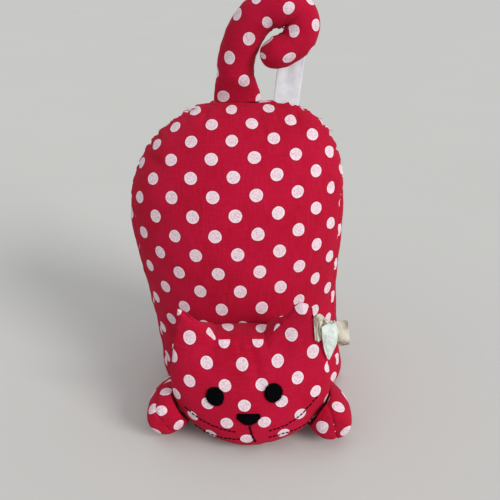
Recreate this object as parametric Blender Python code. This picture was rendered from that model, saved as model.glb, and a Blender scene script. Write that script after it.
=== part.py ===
"""Stuffed cotton cat door stop, as separate sewn and stuffed pieces.

The cat crouches on the floor and looks along -Y. Its cover is cut cotton: a front panel, a back
panel, two tapered side gussets and a flat base. A bag of sand lies in the base, with fibre
wadding above it. The head, the two paws and the curled tail are stuffed pieces of their own.
Lengths are in metres and +Z is up. The underside of the base is the plane z = 0.
"""
import math

import bmesh
import bpy
import numpy as np
from mathutils import Vector
from mathutils.bvhtree import BVHTree

# Cloth and sewing
CLOTH = 0.0012              # cotton cover with its iron-on lining
SEAM_GAP = 0.0003           # between two sewn edges, and between a piece and its seat
HEAD_SEAT_GAP = 0.0006      # behind the head and the paws, where curved cloth lies on curved cloth
STUFFING_GAP = 0.0009       # between the cloth of the head and body and their wadding

# Body
BODY_HEIGHT = 0.219
BODY_HALF_WIDTH = 0.0817
WIDEST_HEIGHT = 0.135
BASE_HALF_WIDTH = 0.0729
SWELL_SHARPNESS = 3.6         # how suddenly the body widens above the waist
LEFT_SHOULDER_ROUNDING = 2.05
RIGHT_SHOULDER_ROUNDING = 2.9   # the right shoulder is squarer than the left one
BODY_HALF_DEPTH = 0.054
BACK_HALF_DEPTH = 0.050
DOME_START = 0.110          # above this the body gets thinner from front to back
BASE_EDGE_INSET = 0.008
BASE_EDGE_HEIGHT = 0.013
LEAN_BACK = math.radians(8)
SIDE_SAG = 0.0145           # the stuffing has slumped to one side by this much
SAG_SPAN = 1.5 * BODY_HEIGHT
TAIL_OPENING = 0.0010       # the cover stays open this far below the crown, where the tail goes in
GUSSET_ANGLE = math.radians(20)
GUSSET_TAPER = 0.135        # above this the gussets narrow
GUSSET_TOP = 0.190

# Filling
BAG_HEIGHT = 0.060

# Head
HEAD_FRONT_Y = -0.072       # the plane of the head's seam
HEAD_LOW = 0.0015
HEAD_HALF_WIDTH = 0.0565
HEAD_MIDDLE = 0.043
HEAD_X = -0.0035            # the head sits a little to the left
JOWL_ROUNDING = 0.76        # below 1, the lower corners of the face are fuller than an ellipse
EAR_TIP_LEFT = (-0.0513, 0.1035)
EAR_TIP_RIGHT = (0.0320, 0.1045)
EAR_DIP = 0.0255            # the seam between the ears lies this far below the ear tips
FACE_DEPTH = 0.0205
CHIN_FULLNESS = 0.80
NAPE_DEPTH = 0.031
NAPE_SIDE_THINNING = 0.78   # the back of the head is this much thinner at the cheeks
EAR_EDGE = 0.0004           # least thickness of the cloth at the very edge of the ears

# Paws
PAW_HALF_WIDTH = 0.0186
PAW_HALF_HEIGHT = 0.0182
PAW_REST_GAP = 0.0004
PAW_ROOT_SHARE = 0.50       # a paw is this much thinner where it is sewn to the body
PAW_SWELL_SHARE = 0.72      # of its length, before it is full
PAW_BLUNTNESS = 0.38        # below 0.5, the toe is blunter than a ball
PAW_SIDES = 21
PAW_RINGS = 20
PAW_PRESS = 0.004           # the head's seam presses a dent of this half length into the paw
LEFT_PAW_ROOT_X = 0.0184 - BASE_HALF_WIDTH
LEFT_PAW_TOE = (LEFT_PAW_ROOT_X - 0.0097, HEAD_FRONT_Y - 0.0168)
RIGHT_PAW_ROOT_X = BASE_HALF_WIDTH - 0.0274
RIGHT_PAW_TOE = (RIGHT_PAW_ROOT_X + 0.0090, HEAD_FRONT_Y - 0.0222)

# Tail
TAIL_RADIUS = 0.0136
TAIL_ROOT_HALF_WIDTH = 0.0175
TAIL_ROOT_HALF_DEPTH = 0.0052
TAIL_FLARE_SHARE = 0.12     # of its length, where it spreads into the crown seam
# Bends of the tail's middle line from its root to its tip, in tail radii
TAIL_BENDS = ((-0.04, 0.00, 0.00), (-0.15, -0.15, 1.14), (-0.09, -0.29, 2.21), (0.22, -0.44, 3.16),
              (0.68, -0.59, 3.93), (1.31, -0.74, 4.54), (2.10, -0.88, 4.82), (2.83, -0.93, 4.59),
              (3.21, -0.98, 4.01), (3.10, -1.06, 3.34), (2.52, -1.13, 2.86), (1.80, -1.15, 2.64),
              (1.12, -1.10, 2.66))

# Face
EYE_RADIUS = 0.0061
FELT = 0.0012
LEFT_EYE = (-0.0277, 0.0436)
RIGHT_EYE = (0.0119, 0.0469)
NOSE_CENTRE = (-0.0050, 0.0299)
NOSE_HALF_WIDTH = 0.0080
NOSE_HEIGHT = 0.0075
THREAD_RADIUS = 0.0005
# Places that each line of stitches runs through: across the head in shares of its half width, and
# up from the chin in shares of the height of the head's middle
STITCHES = {
    "mouth_thread": ((-0.015, 0.575), (-0.002, 0.500), (0.026, 0.360), (0.062, 0.240)),
    "left_upper_whisker": ((-0.815, 0.726), (-0.743, 0.672), (-0.631, 0.590), (-0.457, 0.516),
                           (-0.311, 0.478), (-0.178, 0.451)),
    "left_lower_whisker": ((-0.700, 0.360), (-0.625, 0.330), (-0.539, 0.303), (-0.327, 0.291),
                           (-0.124, 0.316)),
    "right_upper_whisker": ((0.215, 0.460), (0.422, 0.534), (0.595, 0.654), (0.696, 0.774),
                            (0.820, 0.924)),
    "right_lower_whisker": ((0.210, 0.324), (0.393, 0.361), (0.590, 0.390), (0.700, 0.430),
                            (0.770, 0.490)),
}

# Label and ribbon
LABEL_WIDTH = 0.0185
LABEL_LENGTH = 0.040
LABEL_THICKNESS = 0.0005
LABEL_X = 0.0222
LABEL_TILT = math.radians(7)
RIBBON_THICKNESS = 0.0008
RIBBON_CREASE = 0.0010
RIBBON_ROWS = 24
# The two edges of each piece of ribbon, in the same shares as the stitches
BOW_EDGES = (((0.770, 1.867), (0.754, 2.104), (0.747, 2.296), (0.823, 2.337), (0.901, 2.234),
              (1.009, 2.193), (1.147, 2.173)),
             ((0.841, 1.892), (0.827, 2.060), (0.834, 2.147), (0.867, 2.193), (0.929, 2.055),
              (1.046, 1.829), (1.188, 1.860)))
END_EDGES = (((0.834, 2.152), (0.851, 1.935), (0.890, 1.692), (0.940, 1.535)),
             ((0.920, 2.241), (1.028, 2.075), (1.019, 1.805), (0.954, 1.520)))


def clear_scene():
    for item in list(bpy.data.objects):
        bpy.data.objects.remove(item, do_unlink=True)


def material(name, colour, roughness, metallic=0.0):
    made = bpy.data.materials.new(name)
    made.use_nodes = True
    shader = made.node_tree.nodes["Principled BSDF"]
    shader.inputs["Base Color"].default_value = (*colour, 1.0)
    shader.inputs["Roughness"].default_value = roughness
    shader.inputs["Metallic"].default_value = metallic
    return made


def add_mesh(name, vertices, faces, skin):
    """Make one named object from points and faces, with its faces turned outwards."""
    mesh = bpy.data.meshes.new(name)
    work = bmesh.new()
    points = [work.verts.new(point) for point in vertices]
    for face in faces:
        work.faces.new([points[index] for index in face])
    bmesh.ops.remove_doubles(work, verts=work.verts, dist=1e-6)
    bmesh.ops.recalc_face_normals(work, faces=work.faces)
    if work.calc_volume(signed=True) < 0:
        bmesh.ops.reverse_faces(work, faces=work.faces)
    work.to_mesh(mesh)
    work.free()
    mesh.materials.append(skin)
    for polygon in mesh.polygons:
        polygon.use_smooth = True
    made = bpy.data.objects.new(name, mesh)
    bpy.context.collection.objects.link(made)
    return made


def draw_in(grid, rows=(True, True), columns=(True, True), gap=SEAM_GAP):
    """Shorten a grid of points by half a seam gap at the edges that are sewn to another piece."""
    drawn = grid.copy()
    edges = ((rows[0], 0, 0, 1), (rows[1], 0, -1, -2), (columns[0], 1, 0, 1), (columns[1], 1, -1, -2))
    for wanted, axis, edge, inside in edges:
        if not wanted:
            continue
        lines = np.moveaxis(drawn, axis, 0)
        step = lines[inside] - lines[edge]
        length = np.linalg.norm(step, axis=1, keepdims=True)
        lines[edge] += step / np.maximum(length, 1e-9) * np.minimum(gap / 2, 0.4 * length)
    return drawn


def grid_normals(grid):
    """Unit normals of a grid of points, as the cross product of its two directions."""
    across = np.gradient(grid, axis=1)
    along = np.gradient(grid, axis=0)
    normal = np.cross(across, along)
    return normal / np.maximum(np.linalg.norm(normal, axis=2, keepdims=True), 1e-12)


def sheet_faces(rows, columns):
    """Faces of a thick sheet: the outer grid, the inner grid and the rim between them."""
    count = rows * columns
    faces = []
    for row in range(rows - 1):
        for column in range(columns - 1):
            corner = row * columns + column
            quad = (corner, corner + 1, corner + columns + 1, corner + columns)
            faces.append(quad)
            faces.append(tuple(index + count for index in reversed(quad)))
    edge = [column for column in range(columns)]
    edge += [row * columns + columns - 1 for row in range(1, rows)]
    edge += [(rows - 1) * columns + column for column in range(columns - 2, -1, -1)]
    edge += [row * columns for row in range(rows - 2, 0, -1)]
    for here, after in zip(edge, edge[1:] + edge[:1]):
        faces.append((after, here, here + count, after + count))
    return faces


def thick_sheet(name, outer, inner, skin):
    rows, columns = outer.shape[:2]
    points = np.concatenate([outer.reshape(-1, 3), inner.reshape(-1, 3)])
    return add_mesh(name, points.tolist(), sheet_faces(rows, columns), skin)


def closed_rings(name, rings, skin):
    """A solid through closed rings of points, capped at both ends."""
    count = len(rings[0])
    faces = [tuple(range(count))]
    for level in range(len(rings) - 1):
        for index in range(count):
            after = (index + 1) % count
            low = level * count
            faces.append((low + index, low + after, low + count + after, low + count + index))
    last = (len(rings) - 1) * count
    faces.append(tuple(range(last, last + count)))
    return add_mesh(name, np.concatenate(rings).tolist(), faces, skin)


def smooth_step(value):
    value = min(1.0, max(0.0, value))
    return value * value * (3 - 2 * value)


def smooth_curve(points, samples):
    """Points along a Catmull-Rom curve through the given points."""
    fixed = [Vector(point) for point in points]
    fixed = [2 * fixed[0] - fixed[1]] + fixed + [2 * fixed[-1] - fixed[-2]]
    made = []
    spans = len(fixed) - 3
    for step in range(samples + 1):
        place = spans * step / samples
        span = min(int(place), spans - 1)
        t = place - span
        a, b, c, d = fixed[span:span + 4]
        made.append(0.5 * (2 * b + (c - a) * t + (2 * a - 5 * b + 4 * c - d) * t ** 2
                           + (3 * b - a - 3 * c + d) * t ** 3))
    return made


# Body shape

def body_half_width(z, on_left):
    """Width from the body's middle to its left or right side."""
    if z <= WIDEST_HEIGHT:
        swell = (1 - math.cos(math.pi * z / WIDEST_HEIGHT)) / 2
        return BASE_HALF_WIDTH + (BODY_HALF_WIDTH - BASE_HALF_WIDTH) * swell ** SWELL_SHARPNESS
    rounding = LEFT_SHOULDER_ROUNDING if on_left else RIGHT_SHOULDER_ROUNDING
    rise = (z - WIDEST_HEIGHT) / (BODY_HEIGHT - WIDEST_HEIGHT)
    return BODY_HALF_WIDTH * (1 - min(rise, 1.0) ** rounding) ** (1 / rounding)


def body_thinning(z):
    if z <= DOME_START:
        return 1.0
    rise = (z - DOME_START) / (BODY_HEIGHT - DOME_START)
    return (1 - min(rise, 1.0) ** 2) ** 0.62


def body_inset(z):
    """How far the wall is drawn in at the rounded lower edge."""
    if z >= BASE_EDGE_HEIGHT:
        return 0.0
    drop = (BASE_EDGE_HEIGHT - z) / BASE_EDGE_HEIGHT
    return BASE_EDGE_INSET * (1 - math.sqrt(max(0.0, 1 - drop * drop)))


def body_centre(z):
    """Middle of the body at a height: it leans back, and has slumped to the left."""
    return (-SIDE_SAG * math.sin(math.pi * z / SAG_SPAN), z * math.tan(LEAN_BACK))


def body_point(z, angle):
    """A point of the cover. Angle 0 is the left side, a quarter turn is the front."""
    middle_x, middle_y = body_centre(z)
    inset = body_inset(z)
    half_width = body_half_width(z, math.cos(angle) > 0) - inset
    depth = BODY_HALF_DEPTH if math.sin(angle) > 0 else BACK_HALF_DEPTH
    half_depth = (depth - inset) * body_thinning(z)
    return (middle_x - half_width * math.cos(angle), middle_y - half_depth * math.sin(angle), z)


def body_front(x, z):
    """The y of the body's front at a place seen from the front."""
    z = max(z, BASE_EDGE_HEIGHT)
    middle_x, middle_y = body_centre(z)
    across = min(0.985, abs(x - middle_x) / body_half_width(z, x < middle_x))
    return middle_y - BODY_HALF_DEPTH * body_thinning(z) * math.sqrt(1 - across * across)


def gusset_angle(z):
    """Half the angle that the side gusset takes up: it narrows to nothing at the shoulder."""
    return GUSSET_ANGLE * (1 - smooth_step((z - GUSSET_TAPER) / (GUSSET_TOP - GUSSET_TAPER)))


def body_heights():
    """Heights of the rows: close together at the rounded edge and at the crown."""
    low = [BASE_EDGE_HEIGHT * (1 - math.cos(math.pi * step / 8)) for step in range(4)]
    wall = [BASE_EDGE_HEIGHT + (WIDEST_HEIGHT - BASE_EDGE_HEIGHT) * step / 14 for step in range(15)]
    crown = BODY_HEIGHT - TAIL_OPENING
    top = [WIDEST_HEIGHT + (crown - WIDEST_HEIGHT) * math.sin(math.pi * step / 20)
           for step in range(1, 11)]
    return low[:-1] + wall + top


def body_normal(z, angle):
    """Outward direction of the cover at a point, from small steps along it."""
    step = 1e-4
    low = max(z - step, 0.0)
    up = Vector(body_point(low + 2 * step, angle)) - Vector(body_point(low, angle))
    around = Vector(body_point(z, angle + step)) - Vector(body_point(z, angle - step))
    normal = around.cross(up).normalized()
    return Vector((0, 0, -1)) if z == 0 else normal


def body_grid(heights, angles_at, depth):
    """A grid of points at a depth below the cover's face."""
    grid = []
    for z in heights:
        row = []
        for angle in angles_at(z):
            row.append(Vector(body_point(z, angle)) - depth * body_normal(z, angle))
        grid.append(row)
    return np.array([[tuple(point) for point in row] for row in grid])


def spaced(first, last, count):
    return [first + (last - first) * step / count for step in range(count + 1)]


def front_angles(z):
    return spaced(gusset_angle(z), math.pi - gusset_angle(z), 20)


def back_angles(z):
    return spaced(math.pi + gusset_angle(z), 2 * math.pi - gusset_angle(z), 20)


def left_angles(z):
    return spaced(-gusset_angle(z), gusset_angle(z), 4)


def right_angles(z):
    return spaced(math.pi - gusset_angle(z), math.pi + gusset_angle(z), 4)


def ring_angles(z):
    return (left_angles(z)[:-1] + front_angles(z)[:-1] + right_angles(z)[:-1]
            + back_angles(z)[:-1])


def build_body(cotton):
    heights = body_heights()
    below_shoulder = [z for z in heights if z < GUSSET_TOP - 0.012]
    panels = (("body_front_panel", heights, front_angles), ("body_back_panel", heights, back_angles),
              ("left_side_gusset", below_shoulder, left_angles),
              ("right_side_gusset", below_shoulder, right_angles))
    for name, rows, angles in panels:
        outer = draw_in(body_grid(rows, angles, 0.0), rows=(False, name.endswith("gusset")))
        inner = draw_in(body_grid(rows, angles, CLOTH), rows=(False, name.endswith("gusset")))
        thick_sheet(name, outer, inner, cotton)
    build_base(cotton)


def build_base(cotton):
    """The flat base panel: its underside is the face that the door stop rests on."""
    edge = []
    for angle in ring_angles(0.0):
        point = Vector(body_point(0.0, angle))
        edge.append(point * (1 - SEAM_GAP / point.length))
    rings = [np.array([(point.x, point.y, height) for point in edge]) for height in (0.0, CLOTH)]
    closed_rings("base_panel", rings, cotton)


def build_filling(canvas, wadding):
    heights = body_heights()
    split = min(range(len(heights)), key=lambda row: abs(heights[row] - BAG_HEIGHT))
    bag = body_grid(heights[:split + 1], ring_angles, CLOTH + SEAM_GAP)
    bag[-1, :, 2] -= SEAM_GAP
    closed_rings("sand_bag", list(bag), canvas)
    filling = body_grid(heights[split:], ring_angles, CLOTH + STUFFING_GAP)
    closed_rings("body_wadding", list(filling), wadding)


# Head shape

def head_row(level):
    """One row of the head from chin (0) to ears (1): left end, right end and middle height."""
    height = HEAD_LOW + (HEAD_MIDDLE - HEAD_LOW) * (1 - math.cos(math.pi * min(level, 0.5)))
    if level <= 0.5:
        half = HEAD_HALF_WIDTH * math.sin(math.pi * level) ** JOWL_ROUNDING
        return (HEAD_X - half, height), (HEAD_X + half, height)
    rise = smooth_step(2 * level - 1) * 0.35 + (2 * level - 1) * 0.65
    left = (HEAD_X - HEAD_HALF_WIDTH + (EAR_TIP_LEFT[0] - HEAD_X + HEAD_HALF_WIDTH) * rise ** 1.6,
            HEAD_MIDDLE + (EAR_TIP_LEFT[1] - HEAD_MIDDLE) * rise)
    right = (HEAD_X + HEAD_HALF_WIDTH + (EAR_TIP_RIGHT[0] - HEAD_X - HEAD_HALF_WIDTH) * rise ** 1.6,
             HEAD_MIDDLE + (EAR_TIP_RIGHT[1] - HEAD_MIDDLE) * rise)
    return left, right


def head_place(level, across):
    """Where a row crosses the head, as (x, z). Across runs from -1 at the left to 1 at the right."""
    left, right = head_row(level)
    share = (across + 1) / 2
    dip = EAR_DIP * smooth_step(2 * level - 1) * (1 - max(0.0, (abs(across + 0.04) - 0.42) / 0.58))
    return (left[0] + (right[0] - left[0]) * share, left[1] + (right[1] - left[1]) * share - dip)


def head_levels():
    """Rows from the short straight seam under the chin up to the ears."""
    return [(1 - math.cos(math.pi * (step + 2) / 20)) / 2 for step in range(19)]


def head_across():
    return [math.sin(math.pi * (step - 9) / 18) for step in range(19)]


def fullness(level, across):
    """How full the stuffing is: 0 at the seam and 1 in the middle."""
    lowest = head_levels()[0]
    rise = 2 * (level - lowest) / (1 - lowest) - 1
    return math.sqrt(max(0.0, 1 - across * across)) * math.sqrt(max(0.0, 1 - rise * rise))


def head_point(level, across, front):
    """A point of the head's front or back."""
    x, z = head_place(level, across)
    full = fullness(level, across)
    if front:
        droop = 1 - CHIN_FULLNESS * (z - HEAD_MIDDLE) / (HEAD_MIDDLE - HEAD_LOW)
        return (x, HEAD_FRONT_Y - FACE_DEPTH * max(0.25, droop) * full, z)
    sides = 1 - NAPE_SIDE_THINNING * smooth_step((abs(across) - 0.45) / 0.4)
    y = HEAD_FRONT_Y + NAPE_DEPTH * (1 - (1 - full) ** 2.2) * sides
    return (x, min(y, body_front(x, z) - HEAD_SEAT_GAP), z)


def head_grid(front):
    return np.array([[head_point(level, across, front) for across in head_across()]
                     for level in head_levels()])


def seam_directions(grid):
    """Directions that point out of the outline, in its own plane, at the edge of a grid."""
    out = np.zeros(grid.shape)
    out[0] += grid[0] - grid[1]
    out[-1] += grid[-1] - grid[-2]
    out[:, 0] += grid[:, 0] - grid[:, 1]
    out[:, -1] += grid[:, -1] - grid[:, -2]
    out[:, :, 1] = 0
    return out


def head_faces():
    """Outer points and outward directions of the head's front and back, equal along the seam."""
    front, back = head_grid(True), head_grid(False)
    front_out, back_out = grid_normals(front), -grid_normals(back)
    outline = seam_directions(front)
    length = np.linalg.norm(outline, axis=2, keepdims=True)
    edge = length[:, :, 0] > 0
    outline[edge] /= length[edge]
    front_out[edge] = outline[edge]
    back_out[edge] = outline[edge]
    return (front, front_out), (back, back_out)


def keep_side(grid, way, distance):
    """Keep points on their own side of the seam's plane, at least a distance from it."""
    grid[..., 1] = HEAD_FRONT_Y + way * np.maximum(way * (grid[..., 1] - HEAD_FRONT_Y), distance)


def build_head(cotton, wadding):
    sides = head_faces()
    stuffing = []
    for name, way, (outer, out) in zip(("head_front_panel", "head_back_panel"), (-1, 1), sides):
        inner = draw_in(outer - CLOTH * out)
        keep_side(inner, way, SEAM_GAP / 2)
        cover = draw_in(outer)
        keep_side(cover, way, SEAM_GAP / 2)
        keep_side(cover[1:-1, 1:-1], way, SEAM_GAP / 2 + EAR_EDGE)
        thick_sheet(name, cover, inner, cotton)
        filling = outer - (CLOTH + STUFFING_GAP) * out
        keep_side(filling, way, 0.0)
        stuffing.append(filling)
    rows, columns = stuffing[0].shape[:2]
    points = np.concatenate([grid.reshape(-1, 3) for grid in stuffing]).tolist()
    faces = []
    for row in range(rows - 1):
        for column in range(columns - 1):
            corner = row * columns + column
            quad = (corner, corner + 1, corner + columns + 1, corner + columns)
            faces.append(quad)
            faces.append(tuple(index + rows * columns for index in reversed(quad)))
    add_mesh("head_wadding", points, faces, wadding)


def face_tree():
    """The head's front face, to set the eyes, the nose and the stitches on."""
    grid = head_grid(True)
    rows, columns = grid.shape[:2]
    faces = [(row * columns + column, row * columns + column + 1,
              (row + 1) * columns + column + 1, (row + 1) * columns + column)
             for row in range(rows - 1) for column in range(columns - 1)]
    return BVHTree.FromPolygons(grid.reshape(-1, 3).tolist(), faces)


def on_face(tree, x, z):
    """The point of the face and its outward direction, seen from the front."""
    place, normal = tree.ray_cast(Vector((x, -0.3, z)), Vector((0, 1, 0)))[:2]
    if normal.y > 0:
        normal = -normal
    return place, normal


def felt_piece(name, tree, outline, felt):
    """A felt piece with a given outline, lying on the face."""
    middle = (sum(x for x, z in outline) / len(outline), sum(z for x, z in outline) / len(outline))
    rings = []
    for share in (0.45, 0.8, 1.0):
        rings.append([(middle[0] + (x - middle[0]) * share, middle[1] + (z - middle[1]) * share)
                      for x, z in outline])
    places = [middle] + [spot for ring in rings for spot in ring]
    _, out = on_face(tree, *middle)
    near, far = [], []
    for x, z in places:
        place, _ = on_face(tree, x, z)
        near.append(tuple(place + (SEAM_GAP + 0.0003) * out))
        far.append(tuple(place + (SEAM_GAP + 0.0003 + FELT) * out))
    count = len(outline)
    faces = [(0, 1 + index, 1 + (index + 1) % count) for index in range(count)]
    for ring in range(2):
        base = 1 + ring * count
        for index in range(count):
            after = (index + 1) % count
            faces.append((base + index, base + count + index, base + count + after, base + after))
    total = len(places)
    faces += [tuple(index + total for index in reversed(face)) for face in faces]
    rim = 1 + 2 * count
    for index in range(count):
        after = (index + 1) % count
        faces.append((rim + index, rim + index + total, rim + after + total, rim + after))
    return add_mesh(name, near + far, faces, felt)


def round_outline(centre, radius, count=20):
    return [(centre[0] + radius * math.cos(2 * math.pi * step / count),
             centre[1] + radius * math.sin(2 * math.pi * step / count)) for step in range(count)]


def nose_outline():
    """A half moon with its straight side on top."""
    left, top = NOSE_CENTRE[0] - NOSE_HALF_WIDTH, NOSE_CENTRE[1] + NOSE_HEIGHT / 2
    straight = [(left + 2 * NOSE_HALF_WIDTH * step / 8, top) for step in range(9)]
    arc = [(NOSE_CENTRE[0] + NOSE_HALF_WIDTH * math.cos(math.pi * step / 12),
            top - NOSE_HEIGHT * math.sin(math.pi * step / 12)) for step in range(1, 12)]
    return straight + arc


def thread_line(name, tree, points, thread):
    """Stitching that runs over the face through the given places."""
    curve = bpy.data.curves.new(name, "CURVE")
    curve.dimensions = "3D"
    curve.bevel_depth = THREAD_RADIUS
    curve.bevel_resolution = 2
    curve.use_fill_caps = True
    spline = curve.splines.new("POLY")
    flat = smooth_curve([(x, 0, z) for x, z in points], 5 * len(points))
    places = []
    for spot in flat:
        place, out = on_face(tree, spot.x, spot.z)
        places.append(place + (THREAD_RADIUS + 2 * SEAM_GAP) * out)
    spline.points.add(len(places) - 1)
    for point, place in zip(spline.points, places):
        point.co = (*place, 1)
    curve.materials.append(thread)
    made = bpy.data.objects.new(name, curve)
    bpy.context.collection.objects.link(made)
    return made


def head_shares(place):
    """A place on the head from its shares across and up, as (x, z)."""
    return (HEAD_X + HEAD_HALF_WIDTH * place[0], HEAD_LOW + (HEAD_MIDDLE - HEAD_LOW) * place[1])


def build_face(felt, thread):
    tree = face_tree()
    felt_piece("left_eye", tree, round_outline(LEFT_EYE, EYE_RADIUS), felt)
    felt_piece("right_eye", tree, round_outline(RIGHT_EYE, EYE_RADIUS), felt)
    felt_piece("nose", tree, nose_outline(), felt)
    for name, places in STITCHES.items():
        thread_line(name, tree, [head_shares(place) for place in places], thread)


# Paws

def cheek_x(y, z, side):
    """How far the head reaches to one side, at a place beside it. The paws are pressed flat there."""
    y = min(y + PAW_PRESS, max(y - PAW_PRESS, HEAD_FRONT_Y))
    height = min(0.99, max(0.01, (z - HEAD_LOW) / (HEAD_MIDDLE - HEAD_LOW)))
    level = math.acos(1 - height) / math.pi
    low, high = 0.0, 1.0
    for _ in range(20):
        middle = (low + high) / 2
        if head_point(level, side * middle, True)[1] <= y <= head_point(level, side * middle, False)[1]:
            low = middle
        else:
            high = middle
    return head_place(level, side * low)[0]


def paw_ring(root_x, toe, depth, turn, share=1.0):
    """One ring of a paw, at a depth below its face. The turn runs from 0 at the body to the toe."""
    along = math.sin(turn)
    centre_z = PAW_HALF_HEIGHT + PAW_REST_GAP
    growth = smooth_step(along / PAW_SWELL_SHARE)
    size = (PAW_ROOT_SHARE + (1 - PAW_ROOT_SHARE) * growth) * math.cos(turn) ** PAW_BLUNTNESS
    side = -1 if toe[0] < 0 else 1
    ring = []
    for index in range(PAW_SIDES):
        angle = 2 * math.pi * index / PAW_SIDES
        out_x, out_z = math.cos(angle), math.sin(angle)
        half_width = max(PAW_HALF_WIDTH * size - depth, 0.1 * PAW_HALF_WIDTH * size) * share
        half_height = max(PAW_HALF_HEIGHT * size - depth, 0.1 * PAW_HALF_HEIGHT * size) * share
        x_at_root = root_x + (PAW_ROOT_SHARE * PAW_HALF_WIDTH - depth) * share * out_x
        z_at_root = centre_z + (PAW_ROOT_SHARE * PAW_HALF_HEIGHT - depth) * share * out_z
        start = body_front(x_at_root, z_at_root) - HEAD_SEAT_GAP
        x = root_x + (toe[0] - root_x) * along + half_width * out_x
        y = start + (toe[1] + depth - start) * along
        z = centre_z + half_height * out_z
        cheek = side * cheek_x(y, z, side) + HEAD_SEAT_GAP + depth
        ring.append((side * max(side * x, cheek), y, z))
    return np.array(ring)


def paw_rings(root_x, toe, depth):
    """Rings of a paw from the body forwards to the toe."""
    last = PAW_RINGS - 0.65
    return [paw_ring(root_x, toe, depth, math.pi / 2 * step / last) for step in range(PAW_RINGS)]


def lined_tube(name, outer, inner, skin):
    """A cover that is open at its first ring and closed at its last one."""
    count = len(outer[0])
    points = np.concatenate(outer + inner).tolist()
    shift = len(outer) * count
    faces = []
    for start, levels in ((0, len(outer)), (shift, len(inner))):
        for level in range(levels - 1):
            for index in range(count):
                after = (index + 1) % count
                low = start + level * count
                faces.append((low + index, low + after, low + count + after, low + count + index))
        tip = start + (levels - 1) * count
        faces.append(tuple(range(tip, tip + count)))
    for index in range(count):
        after = (index + 1) % count
        faces.append((index, after, after + shift, index + shift))
    return add_mesh(name, points, faces, skin)


def build_paw(name, root_x, toe, cotton, wadding):
    lined_tube(name + "_cover", paw_rings(root_x, toe, 0.0), paw_rings(root_x, toe, CLOTH), cotton)
    depth = CLOTH + SEAM_GAP
    seat = [paw_ring(root_x, toe, depth, 0.0, share) for share in (0.15, 0.45, 0.75)]
    closed_rings(name + "_wadding", seat + paw_rings(root_x, toe, depth), wadding)


# Tail

def tail_path():
    """Middle line of the tail: up from the crown, over to the right and curled back in."""
    crown_x, crown_y = body_centre(BODY_HEIGHT)
    root = BODY_HEIGHT - TAIL_OPENING + SEAM_GAP
    return [(crown_x + TAIL_RADIUS * x, crown_y + TAIL_RADIUS * y, root + TAIL_RADIUS * z)
            for x, y, z in TAIL_BENDS]


def tail_rings(depth):
    path = smooth_curve(tail_path(), 40)
    rings = []
    count = 16
    for step, place in enumerate(path):
        share = step / (len(path) - 1)
        before, after = path[max(step - 1, 0)], path[min(step + 1, len(path) - 1)]
        along = (after - before).normalized() if step else Vector((0, 0, 1))
        side = Vector((0, 1, 0)).cross(along).normalized()
        front = along.cross(side).normalized()
        spread = smooth_step(share / TAIL_FLARE_SHARE)
        wide = TAIL_ROOT_HALF_WIDTH + (TAIL_RADIUS - TAIL_ROOT_HALF_WIDTH) * spread
        thick = TAIL_ROOT_HALF_DEPTH + (TAIL_RADIUS - TAIL_ROOT_HALF_DEPTH) * spread
        curl = 1 - 0.17 * smooth_step((share - 0.45) / 0.4)
        tip = math.sqrt(max(0.0, 1 - max(0.0, (share - 0.88) / 0.125) ** 2))
        ring = []
        for index in range(count):
            angle = 2 * math.pi * index / count
            reach = max(wide * curl * tip - depth, 0.0008)
            fill = max(thick * curl * tip - depth, 0.0008)
            ring.append(tuple(place + reach * math.cos(angle) * side
                              + fill * math.sin(angle) * front))
        rings.append(np.array(ring))
    return rings


def build_tail(cotton, wadding):
    lined_tube("tail_cover", tail_rings(0.0), tail_rings(CLOTH)[:-1], cotton)
    closed_rings("tail_wadding", tail_rings(CLOTH + SEAM_GAP)[:-2], wadding)


# Label and ribbon

def crown_height(x):
    """Height of the crown seam at a place across the body."""
    low, high = WIDEST_HEIGHT, BODY_HEIGHT
    for _ in range(30):
        middle = (low + high) / 2
        middle_x = body_centre(middle)[0]
        if abs(x - middle_x) < body_half_width(middle, x < middle_x):
            low = middle
        else:
            high = middle
    return low


def build_label(satin):
    """The care label stands in the crown seam, beside the tail. It is bare."""
    rows = 9
    columns = 6
    outer = np.zeros((rows, columns, 3))
    for row in range(rows):
        for column in range(columns):
            share = column / (columns - 1) - 0.5
            up = row / (rows - 1)
            x = LABEL_X + share * LABEL_WIDTH
            low = crown_height(x) + SEAM_GAP + 0.0002
            top = crown_height(LABEL_X) + LABEL_LENGTH
            z = low + (top - low) * up
            x += (z - low) * math.tan(LABEL_TILT)
            y = body_centre(low)[1] + 0.16 * (z - low) + 0.0012 * math.sin(math.pi * up)
            outer[row, column] = (x, y, z)
    inner = outer + np.array([0, LABEL_THICKNESS, 0])
    thick_sheet("care_label", outer, inner, satin)


def ribbon_sheet(name, tree, edges, rows, lift, skin):
    """A crumpled strip between two edges. Where it covers the head it lies on the face."""
    left, right = (smooth_curve([(x, 0, z) for x, z in map(head_shares, edge)], rows)
                   for edge in edges)
    columns = 7
    outer = np.zeros((rows + 1, columns, 3))
    for row in range(rows + 1):
        for column in range(columns):
            share = column / (columns - 1)
            place = left[row].lerp(right[row], share)
            crease = RIBBON_CREASE * math.sin(math.pi * share) * (1 + math.sin(2.1 * row)) / 2
            place.y = ribbon_seat(tree, place.x, place.z) - lift - crease
            outer[row, column] = tuple(place)
    inner = outer + np.array([0, RIBBON_THICKNESS, 0])
    thick_sheet(name, outer, inner, skin)


def ribbon_seat(tree, x, z):
    """The y that the ribbon rests at: on the face, or level with the seam beside it."""
    hit = tree.ray_cast(Vector((x, -0.3, z)), Vector((0, 1, 0)))[0]
    return hit.y if hit else HEAD_FRONT_Y


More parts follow.
